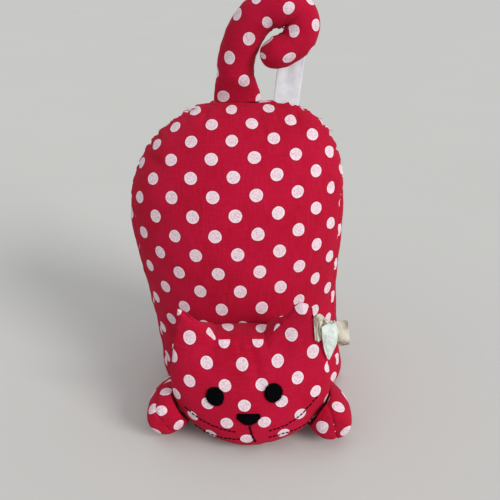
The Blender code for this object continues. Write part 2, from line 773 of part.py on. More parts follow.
def build_ribbon(cream, mint):
    """The worn ribbon at the right ear: a crumpled bow, with one pointed end over it."""
    tree = face_tree()
    seat = RIBBON_THICKNESS + 2 * SEAM_GAP
    ribbon_sheet("ribbon_bow", tree, BOW_EDGES, RIBBON_ROWS, seat, cream)
    ribbon_sheet("ribbon_end", tree, END_EDGES, RIBBON_ROWS // 2, 2 * seat + RIBBON_CREASE, mint)


def build():
    clear_scene()
    cotton = material("red_dotted_cotton", (0.42, 0.010, 0.035), 0.85)
    wadding = material("fibre_wadding", (0.85, 0.85, 0.83), 0.95)
    canvas = material("sand_bag_canvas", (0.62, 0.55, 0.42), 0.9)
    felt = material("black_felt", (0.006, 0.006, 0.008), 0.95)
    thread = material("black_thread", (0.010, 0.010, 0.012), 0.7)
    satin = material("label_satin", (0.82, 0.82, 0.82), 0.5)
    cream = material("cream_ribbon", (0.68, 0.63, 0.50), 0.7)
    mint = material("pale_ribbon", (0.74, 0.82, 0.77), 0.6)
    build_body(cotton)
    build_filling(canvas, wadding)
    build_head(cotton, wadding)
    build_face(felt, thread)
    build_paw("left_paw", LEFT_PAW_ROOT_X, LEFT_PAW_TOE, cotton, wadding)
    build_paw("right_paw", RIGHT_PAW_ROOT_X, RIGHT_PAW_TOE, cotton, wadding)
    build_tail(cotton, wadding)
    build_label(satin)
    build_ribbon(cream, mint)


build()
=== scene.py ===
"""Looks of the stuffed polka-dot cat door stop: sewn cotton, felt, stitches, label and ribbon.

Every sewn piece is built from the same outlines as the solids it stands for. Its cloth carries a
map in metres, called cloth, laid out as the panel was cut, and the dots are printed on that map.
"""

import math
import random

import bmesh
import bpy
import numpy as np
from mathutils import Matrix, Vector, noise
from mathutils.bvhtree import BVHTree


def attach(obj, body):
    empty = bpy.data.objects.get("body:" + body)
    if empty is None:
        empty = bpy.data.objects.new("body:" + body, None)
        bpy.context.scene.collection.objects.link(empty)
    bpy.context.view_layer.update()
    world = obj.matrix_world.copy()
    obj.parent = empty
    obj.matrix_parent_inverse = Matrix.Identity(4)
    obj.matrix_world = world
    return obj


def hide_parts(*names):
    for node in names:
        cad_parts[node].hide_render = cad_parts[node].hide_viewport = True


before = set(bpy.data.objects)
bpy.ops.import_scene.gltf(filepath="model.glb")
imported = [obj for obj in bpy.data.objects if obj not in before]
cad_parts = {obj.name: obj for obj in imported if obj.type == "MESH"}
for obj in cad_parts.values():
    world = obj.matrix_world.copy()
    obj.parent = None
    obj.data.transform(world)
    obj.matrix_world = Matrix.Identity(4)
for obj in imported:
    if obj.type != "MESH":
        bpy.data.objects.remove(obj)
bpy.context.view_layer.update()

# Body, as in the solids
BODY_HEIGHT = 0.219
BODY_HALF_WIDTH = 0.0817
WIDEST_HEIGHT = 0.135
BASE_HALF_WIDTH = 0.0729
SWELL_SHARPNESS = 3.6
LEFT_SHOULDER_ROUNDING = 2.05
RIGHT_SHOULDER_ROUNDING = 2.9
BODY_HALF_DEPTH = 0.054
BACK_HALF_DEPTH = 0.050
DOME_START = 0.110
BASE_EDGE_INSET = 0.008
BASE_EDGE_HEIGHT = 0.013
LEAN_BACK = math.radians(8)
SIDE_SAG = 0.0145
SAG_SPAN = 1.5 * BODY_HEIGHT
TAIL_OPENING = 0.0010
GUSSET_ANGLE = math.radians(20)
GUSSET_TAPER = 0.135
GUSSET_TOP = 0.190

# Head
HEAD_FRONT_Y = -0.072
HEAD_LOW = 0.0015
HEAD_HALF_WIDTH = 0.0565
HEAD_MIDDLE = 0.043
HEAD_X = -0.0035
JOWL_ROUNDING = 0.76
EAR_TIP_LEFT = (-0.0513, 0.1035)
EAR_TIP_RIGHT = (0.0320, 0.1045)
EAR_DIP = 0.0255
FACE_DEPTH = 0.0205
CHIN_FULLNESS = 0.80
NAPE_DEPTH = 0.031
NAPE_SIDE_THINNING = 0.78
HEAD_SEAT_GAP = 0.0006
HEAD_START_TURN = math.pi / 10
EAR_AXIS_LEFT = math.radians(-12)
EAR_AXIS_RIGHT = math.radians(8)
EAR_BLUNTNESS = 0.013
EAR_ROUND_REACH = 0.008
EAR_FILLING = 0.0024
EAR_FILLING_REACH = 0.010
NAPE_LIFT = 0.0035
NAPE_LIFT_FROM = 0.058

# Paws
PAW_HALF_WIDTH = 0.0186
PAW_HALF_HEIGHT = 0.0182
PAW_REST_GAP = 0.0004
PAW_ROOT_SHARE = 0.50
PAW_SWELL_SHARE = 0.72
PAW_BLUNTNESS = 0.38
PAW_PRESS = 0.004
PAW_REACH = 0.04
# Root x, toe (x, y), and how far the seam lies outwards from the top
LEFT_PAW = (-0.0545, (-0.0642, -0.0888), math.radians(31))
RIGHT_PAW = (0.0455, (0.0545, -0.0942), math.radians(-12))

# Tail
TAIL_RADIUS = 0.0136
TAIL_ROOT_HALF_WIDTH = 0.0175
TAIL_ROOT_HALF_DEPTH = 0.0052
TAIL_FLARE_SHARE = 0.12
TAIL_THINNING = 0.17
TAIL_ROUND_FROM = 0.88
TAIL_STEPS = 260
# Bends of its middle line, counted in its radius from the crown
TAIL_BENDS = ((-0.04, 0.00, 0.00), (-0.15, -0.15, 1.14), (-0.09, -0.29, 2.21), (0.22, -0.44, 3.16),
              (0.68, -0.59, 3.93), (1.31, -0.74, 4.54), (2.10, -0.88, 4.82), (2.83, -0.93, 4.59),
              (3.21, -0.98, 4.01), (3.10, -1.06, 3.34), (2.52, -1.13, 2.86), (1.80, -1.15, 2.64),
              (1.12, -1.10, 2.66))

# Face
EYE_RADIUS = 0.0061
FELT = 0.0012
FELT_FRAY = 0.05
FELT_LIFT = 0.0002
FELT_SINK = 0.0003
FELT_ROUND_FROM = 0.88
FRINGE_COUNT = 420
LEFT_EYE = (-0.0277, 0.0436)
RIGHT_EYE = (0.0119, 0.0469)
NOSE_CENTRE = (-0.0050, 0.0299)
NOSE_HALF_WIDTH = 0.0080
NOSE_HEIGHT = 0.0075
THREAD_RADIUS = 0.0005
# Lines of stitches, as shares of the head: across from its middle, and up to its middle height
STITCHES = {
    "mouth_thread": ((-0.015, 0.575), (-0.002, 0.500), (0.026, 0.360), (0.062, 0.240)),
    "left_upper_whisker": ((-0.815, 0.726), (-0.743, 0.672), (-0.631, 0.590), (-0.457, 0.516),
                           (-0.311, 0.478), (-0.178, 0.451)),
    "left_lower_whisker": ((-0.700, 0.360), (-0.625, 0.330), (-0.539, 0.303), (-0.327, 0.291),
                           (-0.124, 0.316)),
    "right_upper_whisker": ((0.215, 0.460), (0.422, 0.534), (0.595, 0.654), (0.696, 0.774),
                            (0.820, 0.924)),
    "right_lower_whisker": ((0.210, 0.324), (0.393, 0.361), (0.590, 0.390), (0.700, 0.430),
                            (0.770, 0.490)),
}
# Length of one stitch, the gap to the next, and the thread's radius
MOUTH_STITCH = (0.0034, 0.0001, THREAD_RADIUS * 1.25)
WHISKER_STITCH = (0.0024, 0.0005, THREAD_RADIUS * 0.85)
STITCH_DIP = 0.35

# Label and ribbon. The left and right edges of each layer of ribbon are in the same shares of the
# head as the stitches, across it and up to its middle, and so they go past 1 at the ear
LABEL_WIDTH = 0.0185
LABEL_LENGTH = 0.040
LABEL_THICKNESS = 0.0004
LABEL_X = 0.0222
LABEL_TILT = math.radians(7)
LABEL_SEAM_DEPTH = 0.0020
LABEL_LEAN_BACK = 0.16
LABEL_BULGE = 0.0012
LABEL_CUP = 0.0011
LABEL_RIPPLE = 0.0005
RIBBON_THICKNESS = 0.0004
BOW_EDGES = (((0.770, 1.867), (0.754, 2.104), (0.747, 2.296), (0.823, 2.337), (0.901, 2.234),
              (1.020, 2.200), (1.150, 2.215)),
             ((0.845, 1.850), (0.827, 2.060), (0.834, 2.147), (0.867, 2.193), (0.929, 2.055),
              (1.046, 1.760), (1.192, 1.770)))
TURN_EDGES = (((0.775, 2.30), (0.800, 2.16), (0.815, 2.03), (0.850, 1.92)),
              ((0.880, 2.28), (0.905, 2.18), (0.870, 2.06), (0.868, 1.93)))
END_EDGES = (((0.834, 2.140), (0.851, 1.935), (0.885, 1.692), (0.937, 1.510)),
             ((0.985, 2.262), (1.024, 2.090), (1.026, 1.830), (0.954, 1.500)))
# Folds of the layers: start and end as shares across and along, width, height, and how much browner
# the colour is painted along the fold
BOW_FOLDS = (
    ((0.50, 0.00), (0.45, 0.42), 0.22, 0.0016, 0.0),
    ((0.10, 0.36), (0.90, 0.44), 0.10, 0.0014, 0.5),
    ((0.20, 0.62), (0.75, 0.98), 0.12, 0.0016, 0.0),
    ((0.75, 0.55), (0.60, 0.75), 0.09, -0.0010, 0.5),
    ((0.85, 0.86), (0.95, 0.98), 0.09, 0.0008, 0.9),
    ((0.00, 0.97), (0.30, 1.00), 0.06, 0.0, 0.8),
)
TURN_FOLDS = (
    ((0.15, 0.05), (0.30, 0.90), 0.16, 0.0010, 0.0),
    ((0.75, 0.10), (0.35, 0.60), 0.12, -0.0008, 1.0),
    ((0.70, 0.60), (0.90, 0.95), 0.12, -0.0004, 0.9),
    ((0.00, 0.00), (0.50, 0.00), 0.12, 0.0004, 0.7),
)
END_FOLDS = (
    ((0.00, 0.18), (0.75, 0.30), 0.12, 0.0011, 0.0),
    ((0.30, 0.40), (0.95, 0.62), 0.14, 0.0006, 0.0),
    ((0.00, 0.50), (0.25, 0.95), 0.10, -0.0005, 0.25),
)
# How far each layer lies off the head
BOW_LIFT = 0.0012
TURN_LIFT = 0.0026
END_LIFT = 0.0040
RIBBON_FRAY = 0.00025
RIBBON_CRUMPLE = 0.0004
# Loose thread ends in the crown seam: place across, and the way to the tip
THREAD_ENDS = ((-0.0490, (-0.0022, -0.0016, 0.0034)), (-0.0385, (-0.0016, -0.0012, 0.0016)),
               (0.0030, (0.0010, -0.0050, 0.0004)), (0.0085, (0.0030, -0.0028, 0.0010)),
               (0.0470, (0.0024, -0.0010, 0.0022)), (0.0545, (0.0030, -0.0010, 0.0012)),
               (-0.0700, (-0.0024, -0.0010, 0.0010)))
THREAD_END_RADIUS = 0.00014

# Stuffed cloth
GATHER_PITCH = 0.0098
SEAM_DEPTH = 0.0009
SEAM_WIDTH = 0.0010
HEAD_SEAM_WIDTH = 0.0012
TAIL_SEAM_DEPTH = 0.0007
DEEPEST_FOLD = -0.0011
# How far the cloth swells beside the body's seams, and how deep the gathers are on each piece.
# Low on the body they are shallow, and they grow to their full depth over a stretch of its height
BODY_PUFF = 0.0018
BODY_GATHERS = 0.0030
LOW_GATHERS_SHARE = 0.35
GATHERS_GROW_FROM = 0.13
GATHERS_GROW_OVER = 0.06
HEAD_GATHERS = 0.0007
PAW_GATHERS = 0.0008
CURL_GATHERS = 0.0002
# How far from the seam the gathers run out
BODY_GATHER_REACH = 0.0085
HEAD_GATHER_REACH = 0.0045
SMALL_GATHER_REACH = 0.004
CURL_GATHER_REACH = 0.009
# How uneven the stuffing is
BODY_LUMPS = 0.00055
FACE_LUMPS = 0.00035
PAW_LUMPS = 0.0003
TAIL_LUMPS = 0.00035

# Dots: a diamond pattern, with a dot at each corner and in the middle of a cell
DOT_PITCH_WIDE = 0.0297
DOT_PITCH_HIGH = 0.0270
DOT_RADIUS = 0.0046
DOT_EDGE = 0.00016
WEAVE_PITCH = 0.00055
RIB_PITCH = 0.0005

# Folds: start, end, width and depth
BODY_CREASES = (
    ((-0.083, 0.012, 0.184), (-0.064, -0.002, 0.177), 0.0026, 0.0020),
    ((0.066, 0.006, 0.163), (0.052, -0.002, 0.160), 0.0026, 0.0020),
    ((0.060, 0.016, 0.193), (0.047, 0.006, 0.184), 0.0026, 0.0016),
    ((0.0010, 0.026, 0.217), (0.0056, 0.002, 0.199), 0.0026, 0.0017),
    ((-0.0350, 0.026, 0.216), (-0.0380, 0.008, 0.204), 0.0026, 0.0014),
    ((-0.0500, 0.030, 0.212), (-0.0500, 0.014, 0.202), 0.0026, 0.0012),
    ((0.0300, 0.024, 0.213), (0.0300, 0.010, 0.204), 0.0026, 0.0014),
    ((-0.066, -0.004, 0.060), (-0.048, -0.034, 0.072), 0.0040, 0.0016),
    ((0.060, -0.004, 0.078), (0.046, -0.030, 0.070), 0.0040, 0.0014),
)
FACE_CREASES = (
    ((-0.0035, -0.074, 0.077), (0.0034, -0.090, 0.047), 0.0038, 0.0015),
    ((-0.0290, -0.075, 0.075), (-0.0345, -0.084, 0.057), 0.0050, 0.0015),
    ((0.0190, -0.074, 0.085), (0.0185, -0.079, 0.066), 0.0050, 0.0014),
    ((-0.0120, -0.074, 0.078), (-0.0100, -0.078, 0.070), 0.0022, 0.0009),
    ((0.0080, -0.074, 0.079), (0.0065, -0.078, 0.071), 0.0022, 0.0009),
)

# Where the print lies on each panel: the place of one dot on its map, and how the cloth is eased
PRINTS = {
    "front": {"dot": (-0.0047, -0.0156), "ease_x": 1.012, "ease_y": 1.013, "bow": -0.70},
    "back": {"dot": (0.004, 0.003), "turn": 1},
    "left_gusset": {"dot": (0.004, 0.012), "turn": 3},
    "right_gusset": {"dot": (-0.0172, 0.1055), "turn": 0},
    "face": {"dot": (0.0054, 0.0008), "turn": 90, "ease_x": 1.107, "fan": -1.97, "ease_y": 1.09,
             "bunch": -3.16},
    "nape": {"dot": (-0.0183, 0.0270), "turn": 90, "ease_x": 1.03, "ease_y": 0.68, "bow": 8.0},
    "left_paw_outer": {"dot": (-0.0183, 0.0102), "turn": 45},
    "left_paw_inner": {"dot": (0.0071, 0.0145), "turn": 35, "ease_y": 1.2},
    "right_paw_outer": {"dot": (-0.0031, 0.0136), "turn": -2, "ease_x": 0.85},
    "right_paw_inner": {"dot": (0.0119, 0.0061), "turn": -21},
    "tail_front": {"dot": (-0.0186, 0.2528), "turn": 98.4},
    "tail_back": {"dot": (-0.012, 0.231), "turn": 88},
    "cap": {"dot": (0.0149, 0), "turn": 10},
}
# The tail's cloth, in shares of the tail: it was cut straighter and longer from the curl's start
# on, and is gathered again near the tip
CURL_START = 0.259
CURL_SLACK = 0.18
CURL_EASE = 0.29
TIP_START = 0.62
TIP_EASE = -0.26
EASE_RUN_IN = 0.15
# Pleats inside the curl: share along the tail, depth, and width as a share
TAIL_PLEATS = ((0.555, 0.0012, 0.014), (0.618, 0.0046, 0.015))
PLEAT_PUFF = 0.0017
PLEAT_REACH = 1.15
# Rings of the flat cloth that closes a cover, as shares of its edge
BASE_RINGS = (1.0, 0.985, 0.96, 0.9, 0.75, 0.5, 0.25, 0.02)
CROWN_RINGS = (1.0, 0.8, 0.4, 0.02)
PAW_RINGS = (1.0, 0.7, 0.35, 0.02)

# Room
ROOM_LIGHT = 0.75
WINDOW_LIGHT = 2.05
WINDOW_WAY = (-0.72, 0.56, -0.48)
WINDOW_SOFTNESS = math.radians(26)
FLOOR_REACH = 12.0
CAMERA_PLACE = (-0.004, -0.4293, 0.3114)
CAMERA_TILT = math.radians(65)
CAMERA_LENS = 44.64


class Shade:
    """A shader value that can be used in ordinary arithmetic."""

    def __init__(self, paint, socket):
        self.paint = paint
        self.socket = socket

    def _math(self, operation, *others):
        values = {index: getattr(other, "socket", other) for index, other in enumerate(others)}
        return self.paint.node("ShaderNodeMath", {"operation": operation}, values)

    def __add__(self, other):
        return self._math("ADD", self, other)

    def __sub__(self, other):
        return self._math("SUBTRACT", self, other)

    def __mul__(self, other):
        return self._math("MULTIPLY", self, other)

    def __truediv__(self, other):
        return self._math("DIVIDE", self, other)

    def __rsub__(self, other):
        return self._math("SUBTRACT", other, self)

    def __rtruediv__(self, other):
        return self._math("DIVIDE", other, self)

    __radd__ = __add__
    __rmul__ = __mul__

    def lowest(self, other):
        return self._math("MINIMUM", self, other)

    def highest(self, other):
        return self._math("MAXIMUM", self, other)

    def fraction(self):
        return self._math("FRACT", self)

    def sine(self):
        return self._math("SINE", self)

    def root(self):
        return self._math("SQRT", self)

    def between(self, low, high):
        """Smooth change from 0 to 1 while the value goes from low to high."""
        return self.paint.node("ShaderNodeMapRange", {"interpolation_type": "SMOOTHSTEP"},
                               {0: self, 1: low, 2: high})


class Nodes:
    """A node tree. Every node in it comes from the one method here."""

    def __init__(self, tree):
        self.tree = tree

    def node(self, kind, settings=None, values=None, output=0):
        made = self.tree.nodes.new(kind)
        for name, value in (settings or {}).items():
            setattr(made, name, value)
        for key, value in (values or {}).items():
            value = getattr(value, "socket", value)
            if isinstance(value, bpy.types.NodeSocket):
                self.tree.links.new(value, made.inputs[key])
            else:
                made.inputs[key].default_value = value
        return Shade(self, made.outputs[output] if made.outputs else None)


class Paint(Nodes):
    """One material and its nodes."""

    def __init__(self, name, roughness, shine=0.25, sheen=0.0):
        self.material = bpy.data.materials.new(name)
        self.material.use_nodes = True
        super().__init__(self.material.node_tree)
        self.shader = self.tree.nodes["Principled BSDF"]
        for socket, value in (("Roughness", roughness), ("Specular IOR Level", shine),
                              ("Sheen Weight", sheen), ("Sheen Roughness", 0.6)):
            self.shader.inputs[socket].default_value = value

    def cloth(self):
        """The cloth map, in metres across and along the weave."""
        place = self.node("ShaderNodeUVMap", {"uv_map": "cloth"})
        split = self.node("ShaderNodeSeparateXYZ", None, {0: place})
        return split, Shade(self, split.socket.node.outputs[1])

    def place(self):
        return self.node("ShaderNodeTexCoord", output=3)

    def noise(self, vector, scale, detail=2.0, roughness=0.5):
        values = {"Vector": vector, "Scale": scale, "Detail": detail, "Roughness": roughness}
        return self.node("ShaderNodeTexNoise", None, values)

    def blend(self, share, first, second):
        settings = {"data_type": "RGBA", "blend_type": "MIX", "clamp_factor": True}
        return self.node("ShaderNodeMix", settings, {0: share, 6: first, 7: second}, output=2)

    def colour(self, value):
        self.tree.links.new(value.socket, self.shader.inputs["Base Color"])

    def roughness(self, value):
        self.tree.links.new(value.socket, self.shader.inputs["Roughness"])

    def bump(self, height, depth, strength):
        made = self.node("ShaderNodeBump", None,
                         {"Height": height, "Distance": depth, "Strength": strength})
        self.tree.links.new(made.socket, self.shader.inputs["Normal"])


def rgb(red, green, blue):
    """A colour as the eye reads it, from 0 to 255, turned into light."""
    parts = []
    for value in (red, green, blue):
        value /= 255
        parts.append(value / 12.92 if value <= 0.04045 else ((value + 0.055) / 1.055) ** 2.4)
    return (*parts, 1.0)


def dotted_cotton():
    """Red plain-weave cotton with pale printed dots, a little faded and rubbed."""
    paint = Paint("dotted_cotton", 0.85, 0.09, 0.02)
    across, along = paint.cloth()
    where = paint.place()
    wobble = (paint.noise(where, 420.0, 2.0) - 0.5) * 0.0005
    distances = []
    for shift in (0.0, 0.5):
        dx = ((across / DOT_PITCH_WIDE + (shift + 200)).fraction() - 0.5) * DOT_PITCH_WIDE
        dy = ((along / DOT_PITCH_HIGH + (shift + 200)).fraction() - 0.5) * DOT_PITCH_HIGH
        distances.append((dx * dx + dy * dy).root())
    distance = distances[0].lowest(distances[1]) + wobble
    dot = distance.between(DOT_RADIUS + DOT_EDGE, DOT_RADIUS - DOT_EDGE)
    rim = distance.between(DOT_RADIUS - 0.0011, DOT_RADIUS - 0.0004)
    halo = distance.between(DOT_RADIUS + 0.0009, DOT_RADIUS + 0.0003)
    thread = 2 * math.pi / WEAVE_PITCH
    weave = (across * thread).sine() * (along * thread).sine() * 0.5 + 0.5
    warp, weft = (paint.noise(paint.node("ShaderNodeCombineXYZ", None,
                                         {0: across * fine, 1: along * coarse}), 1.0)
                  for fine, coarse in ((1500, 75), (75, 1500)))
    slub = warp * 0.6 + weft * 0.4
    faded = paint.noise(where, 30.0, 3.0)
    grain = paint.noise(where, 1300.0, 3.0, 0.7)
    red = paint.blend(faded.between(0.3, 0.7), rgb(167, 4, 38), rgb(178, 10, 49))
    red = paint.blend(slub.between(0.42, 0.62) * 0.4, red, rgb(190, 28, 68))
    red = paint.blend(grain.between(0.45, 0.7) * 0.45, red, rgb(138, 6, 28))
    red = paint.blend(halo * 0.5, red, rgb(118, 4, 28))
    speck = paint.noise(where, 900.0, 3.0, 0.65)
    frost = paint.blend(speck.between(0.38, 0.68), rgb(232, 210, 217), rgb(200, 168, 180))
    frost = paint.blend(rim * 0.6, frost, rgb(238, 216, 224))
    paint.colour(paint.blend(dot, red, frost))
    paint.roughness(dot * -0.1 + 0.86)
    paint.bump(weave * 0.3 + grain * 0.8 + slub * 0.8 + dot * 0.25, 0.00022, 0.6)
    return paint.material


def fibre(name, dark, light, scale, depth, roughness):
    """A plain fibrous material: felt, wadding or canvas."""
    paint = Paint(name, roughness, 0.0)
    tangle = paint.noise(paint.place(), scale, 4.0, 0.7)
    paint.colour(paint.blend(tangle.between(0.3, 0.7), rgb(*dark), rgb(*light)))
    paint.bump(tangle, depth, 0.8)
    return paint.material


def satin(name, light, dark, fold_brown_colour=None):
    """Ribbon and label cloth, with fine ribs along one way and soft dirt. Given a brown, the colour
    is painted browner in patches as far as the second map asks.
    """
    paint = Paint(name, 0.6)
    _, along = paint.cloth()
    where = paint.place()
    rib = (along * (2 * math.pi / RIB_PITCH)).sine() * 0.5 + 0.5
    cloud = paint.noise(where, 120.0, 3.0, 0.6)
    tint = paint.blend(cloud.between(0.35, 0.7), rgb(*light), rgb(*dark))
    # Colour painted browner in patches along some of the ribbon's folds and at its ends, as the
    # second map gives
    if fold_brown_colour:
        brown_share = paint.node("ShaderNodeUVMap", {"uv_map": "fold_brown"})
        brown_share = paint.node("ShaderNodeSeparateXYZ", None, {0: brown_share})
        spot = paint.noise(where, 420.0, 3.0, 0.6).between(0.35, 0.65)
        tint = paint.blend(brown_share * (spot * 0.5 + 0.5), tint, rgb(*fold_brown_colour))
    paint.colour(paint.blend(rib * 0.06, tint, rgb(90, 85, 78)))
    paint.bump(rib * 0.4 + cloud, 0.00012, 0.5)
    return paint.material


# Meshes

def added(name, data):
    """A new object in the scene."""
    made = bpy.data.objects.new(name, data)
    bpy.context.collection.objects.link(made)
    return made


def fitted(made, *nodes):
    """Fix a piece to the cat, in place of the solids that it stands for."""
    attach(made, "root")
    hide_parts(*nodes)
    return made


def turned(angle):
    """What turns places on a flat map by an angle."""
    return np.array([[math.cos(angle), -math.sin(angle)], [math.sin(angle), math.cos(angle)]])


def grid_faces(rows, columns):
    """The four-sided faces of a grid of points, which are numbered row by row."""
    corners = (0, 1, columns + 1, columns)
    return [tuple(row * columns + column + corner for corner in corners)
            for row in range(rows - 1) for column in range(columns - 1)]


def tube_faces(steps, sides):
    """The faces of a closed tube of rings."""
    faces = []
    for low in range(0, steps * sides, sides):
        for turn in range(sides):
            after = (turn + 1) % sides
            faces.append((low + turn, low + after, low + sides + after, low + sides + turn))
    faces.append(tuple(reversed(range(sides))))
    faces.append(tuple(steps * sides + turn for turn in range(sides)))
    return faces


def build_mesh(name, grids, skin, closed=False):
    """One mesh from grids of points with their cloth maps. Grids that share edges are joined."""
    work = bmesh.new()
    layer = work.loops.layers.uv.new("cloth")
    # A second map with how much browner the colour is painted, where the grids carry it
    brown_share = work.loops.layers.uv.new("fold_brown") if len(grids[0]) > 2 else None
    for points, cloth, *fold_brown in grids:
        rows, columns = points.shape[:2]
        made = [[work.verts.new(points[row, column]) for column in range(columns)]
                for row in range(rows)]
        for row in range(rows - 1):
            for column in range(columns - 1):
                spots = ((row, column), (row, column + 1), (row + 1, column + 1), (row + 1, column))
                face = work.faces.new([made[r][c] for r, c in spots])
                face.smooth = True
                for loop, (r, c) in zip(face.loops, spots):
                    loop[layer].uv = cloth[r, c]
                    if brown_share:
                        loop[brown_share].uv = (fold_brown[0][r, c], 0)
    bmesh.ops.remove_doubles(work, verts=work.verts, dist=2e-6)
    bmesh.ops.dissolve_degenerate(work, dist=1e-7, edges=work.edges)
    if closed:
        bmesh.ops.recalc_face_normals(work, faces=work.faces)
    mesh = bpy.data.meshes.new(name)
    work.to_mesh(mesh)
    work.free()
    mesh.materials.append(skin)
    return added(name, mesh)


def flatten(points, keep_rows, keep_columns):
    """Lay a panel flat with the least stretch, and return its cloth map in metres.

    The map's origin is the middle of the panel, and its second coordinate runs up the panel.
    """
    rows, columns = points.shape[:2]
    row_picks = np.unique(np.linspace(0, rows - 1, keep_rows).round().astype(int))
    column_picks = np.unique(np.linspace(0, columns - 1, keep_columns).round().astype(int))
    coarse = points[np.ix_(row_picks, column_picks)]
    size = coarse.shape[:2]
    mesh = bpy.data.meshes.new("pattern")
    mesh.from_pydata([tuple(place) for place in coarse.reshape(-1, 3)], [], grid_faces(*size))
    mesh.uv_layers.new(name="cloth")
    made = added("pattern", mesh)
    bpy.ops.object.select_all(action="DESELECT")
    made.select_set(True)
    bpy.context.view_layer.objects.active = made
    bpy.ops.object.mode_set(mode="EDIT")
    bpy.ops.mesh.select_all(action="SELECT")
    bpy.ops.uv.unwrap(method="MINIMUM_STRETCH", margin=0.0, correct_aspect=False)
    bpy.ops.object.mode_set(mode="OBJECT")
    flat = np.zeros((size[0] * size[1], 2))
    for loop, place in zip(mesh.loops, mesh.uv_layers["cloth"].data):
        flat[loop.vertex_index] = place.uv
    flat = flat.reshape(*size, 2)
    bpy.data.objects.remove(made)
    true_length = np.linalg.norm(np.diff(coarse, axis=1), axis=2).sum()
    flat_length = np.linalg.norm(np.diff(flat, axis=1), axis=2).sum()
    flat *= true_length / flat_length
    middle_row, middle_column = size[0] // 2, size[1] // 2
    flat -= flat[middle_row, middle_column].copy()
    up = flat[-1, middle_column] - flat[0, middle_column]
    flat = flat @ turned(math.atan2(up[0], up[1])).T
    if flat[middle_row, -1, 0] < flat[middle_row, 0, 0]:
        flat[..., 0] *= -1
    full = np.zeros((rows, columns, 2))
    across = np.zeros((len(row_picks), columns, 2))
    for part in range(2):
        for row in range(len(row_picks)):
            across[row, :, part] = np.interp(np.arange(columns), column_picks, flat[row, :, part])
        for column in range(columns):
            full[:, column, part] = np.interp(np.arange(rows), row_picks, across[:, column, part])
    return full


def strip_map(points):
    """The cloth map of a narrow strip: the run across it and the run up its middle."""
    across, along = run(points, 1), run(points, 0)
    middle = points.shape[1] // 2
    return np.stack([across - across[:, middle:middle + 1],
                     along[:, middle:middle + 1] + 0 * across], axis=-1)


def printed(cloth, lay):
    """Lay the print on a panel's map, eased and bent a little as sewing and stuffing do."""
    x, y = cloth[..., 0], cloth[..., 1]
    eased = np.stack([x * (lay.get("ease_x", 1) + lay.get("fan", 0) * y),
                      y * (lay.get("ease_y", 1) + lay.get("bunch", 0) * y)
                      + lay.get("bow", 0) * x * x], axis=-1)
    return (eased - np.array(lay["dot"])) @ turned(math.radians(lay.get("turn", 0))).T


def crowded(count, pull=0.62):
    """Shares from 0 to 1 that crowd towards both ends."""
    share = np.linspace(0, 1, count + 1)
    return share - pull * np.sin(2 * np.pi * share) / (2 * np.pi)


def smooth_step(value):
    value = np.clip(value, 0.0, 1.0)
    return value * value * (3 - 2 * value)


def unit(vectors):
    return vectors / np.maximum(np.linalg.norm(vectors, axis=-1, keepdims=True), 1e-12)


def run(points, axis):
    """Length run along a grid of points, from its first line."""
    step = np.linalg.norm(np.diff(points, axis=axis), axis=2)
    start = np.zeros_like(np.take(step, [0], axis=axis))
    return np.concatenate([start, np.cumsum(step, axis=axis)], axis=axis)


def pucker(along, seed):
    """Uneven gathers along a seam, from 0 to 1, about 10 mm apart."""
    turn = along * 2 * np.pi / GATHER_PITCH
    wave = np.sin(turn + 1.6 * np.sin(along * 61 + seed) + seed * 2.3)
    wave += 0.7 * np.sin(1.63 * turn + 2.1 * np.sin(along * 97 + 2 * seed) + seed)
    size = 0.45 + 0.55 * np.sin(along * 71 + seed * 3.1) ** 2
    return np.clip(0.5 + 0.33 * wave * size, 0, 1)


def groove(off, depth=SEAM_DEPTH, width=SEAM_WIDTH):
    """How far a seam draws the cloth in, at a distance from its line."""
    return -depth * np.exp(-(off / width) ** 2)


def lumps(points, seed, amount):
    """Soft unevenness of the stuffing, as a height over the surface."""
    x, y, z = (points[..., index] for index in range(3))
    made = np.sin(x * 83 + 1.3 * seed) * np.sin(z * 71 + 2.1 * seed + 0.7 * np.sin(x * 40))
    made += 0.6 * np.sin(x * 141 + z * 97 + seed) * np.sin(z * 160 - y * 120 + 2 * seed)
    made += 0.35 * np.sin(x * 230 - z * 210 + 3 * seed) * np.sin(y * 190 + x * 60 + seed)
    return amount * made


def crease(points, start, end, width, depth):
    """A fold between two places, as a height that is below zero in the fold."""
    start, end = np.array(start), np.array(end)
    way = end - start
    share = np.clip(((points - start) @ way) / (way @ way), 0.0, 1.0)
    off = np.linalg.norm(points - (start + share[..., None] * way), axis=-1)
    fade = np.sin(np.pi * np.clip(0.08 + 0.84 * share, 0, 1))
    return -depth * fade * np.exp(-(off / width) ** 2)


# Body

def body_half_width(z, on_left):
    swell = (1 - np.cos(np.pi * np.minimum(z, WIDEST_HEIGHT) / WIDEST_HEIGHT)) / 2
    low = BASE_HALF_WIDTH + (BODY_HALF_WIDTH - BASE_HALF_WIDTH) * swell ** SWELL_SHARPNESS
    rounding = np.where(on_left, LEFT_SHOULDER_ROUNDING, RIGHT_SHOULDER_ROUNDING)
    rise = np.clip((z - WIDEST_HEIGHT) / (BODY_HEIGHT - WIDEST_HEIGHT), 0.0, 1.0)
    high = BODY_HALF_WIDTH * (1 - rise ** rounding) ** (1 / rounding)
    return np.where(z <= WIDEST_HEIGHT, low, high)


def body_thinning(z):
    rise = np.clip((z - DOME_START) / (BODY_HEIGHT - DOME_START), 0.0, 1.0)
    return (1 - rise ** 2) ** 0.62


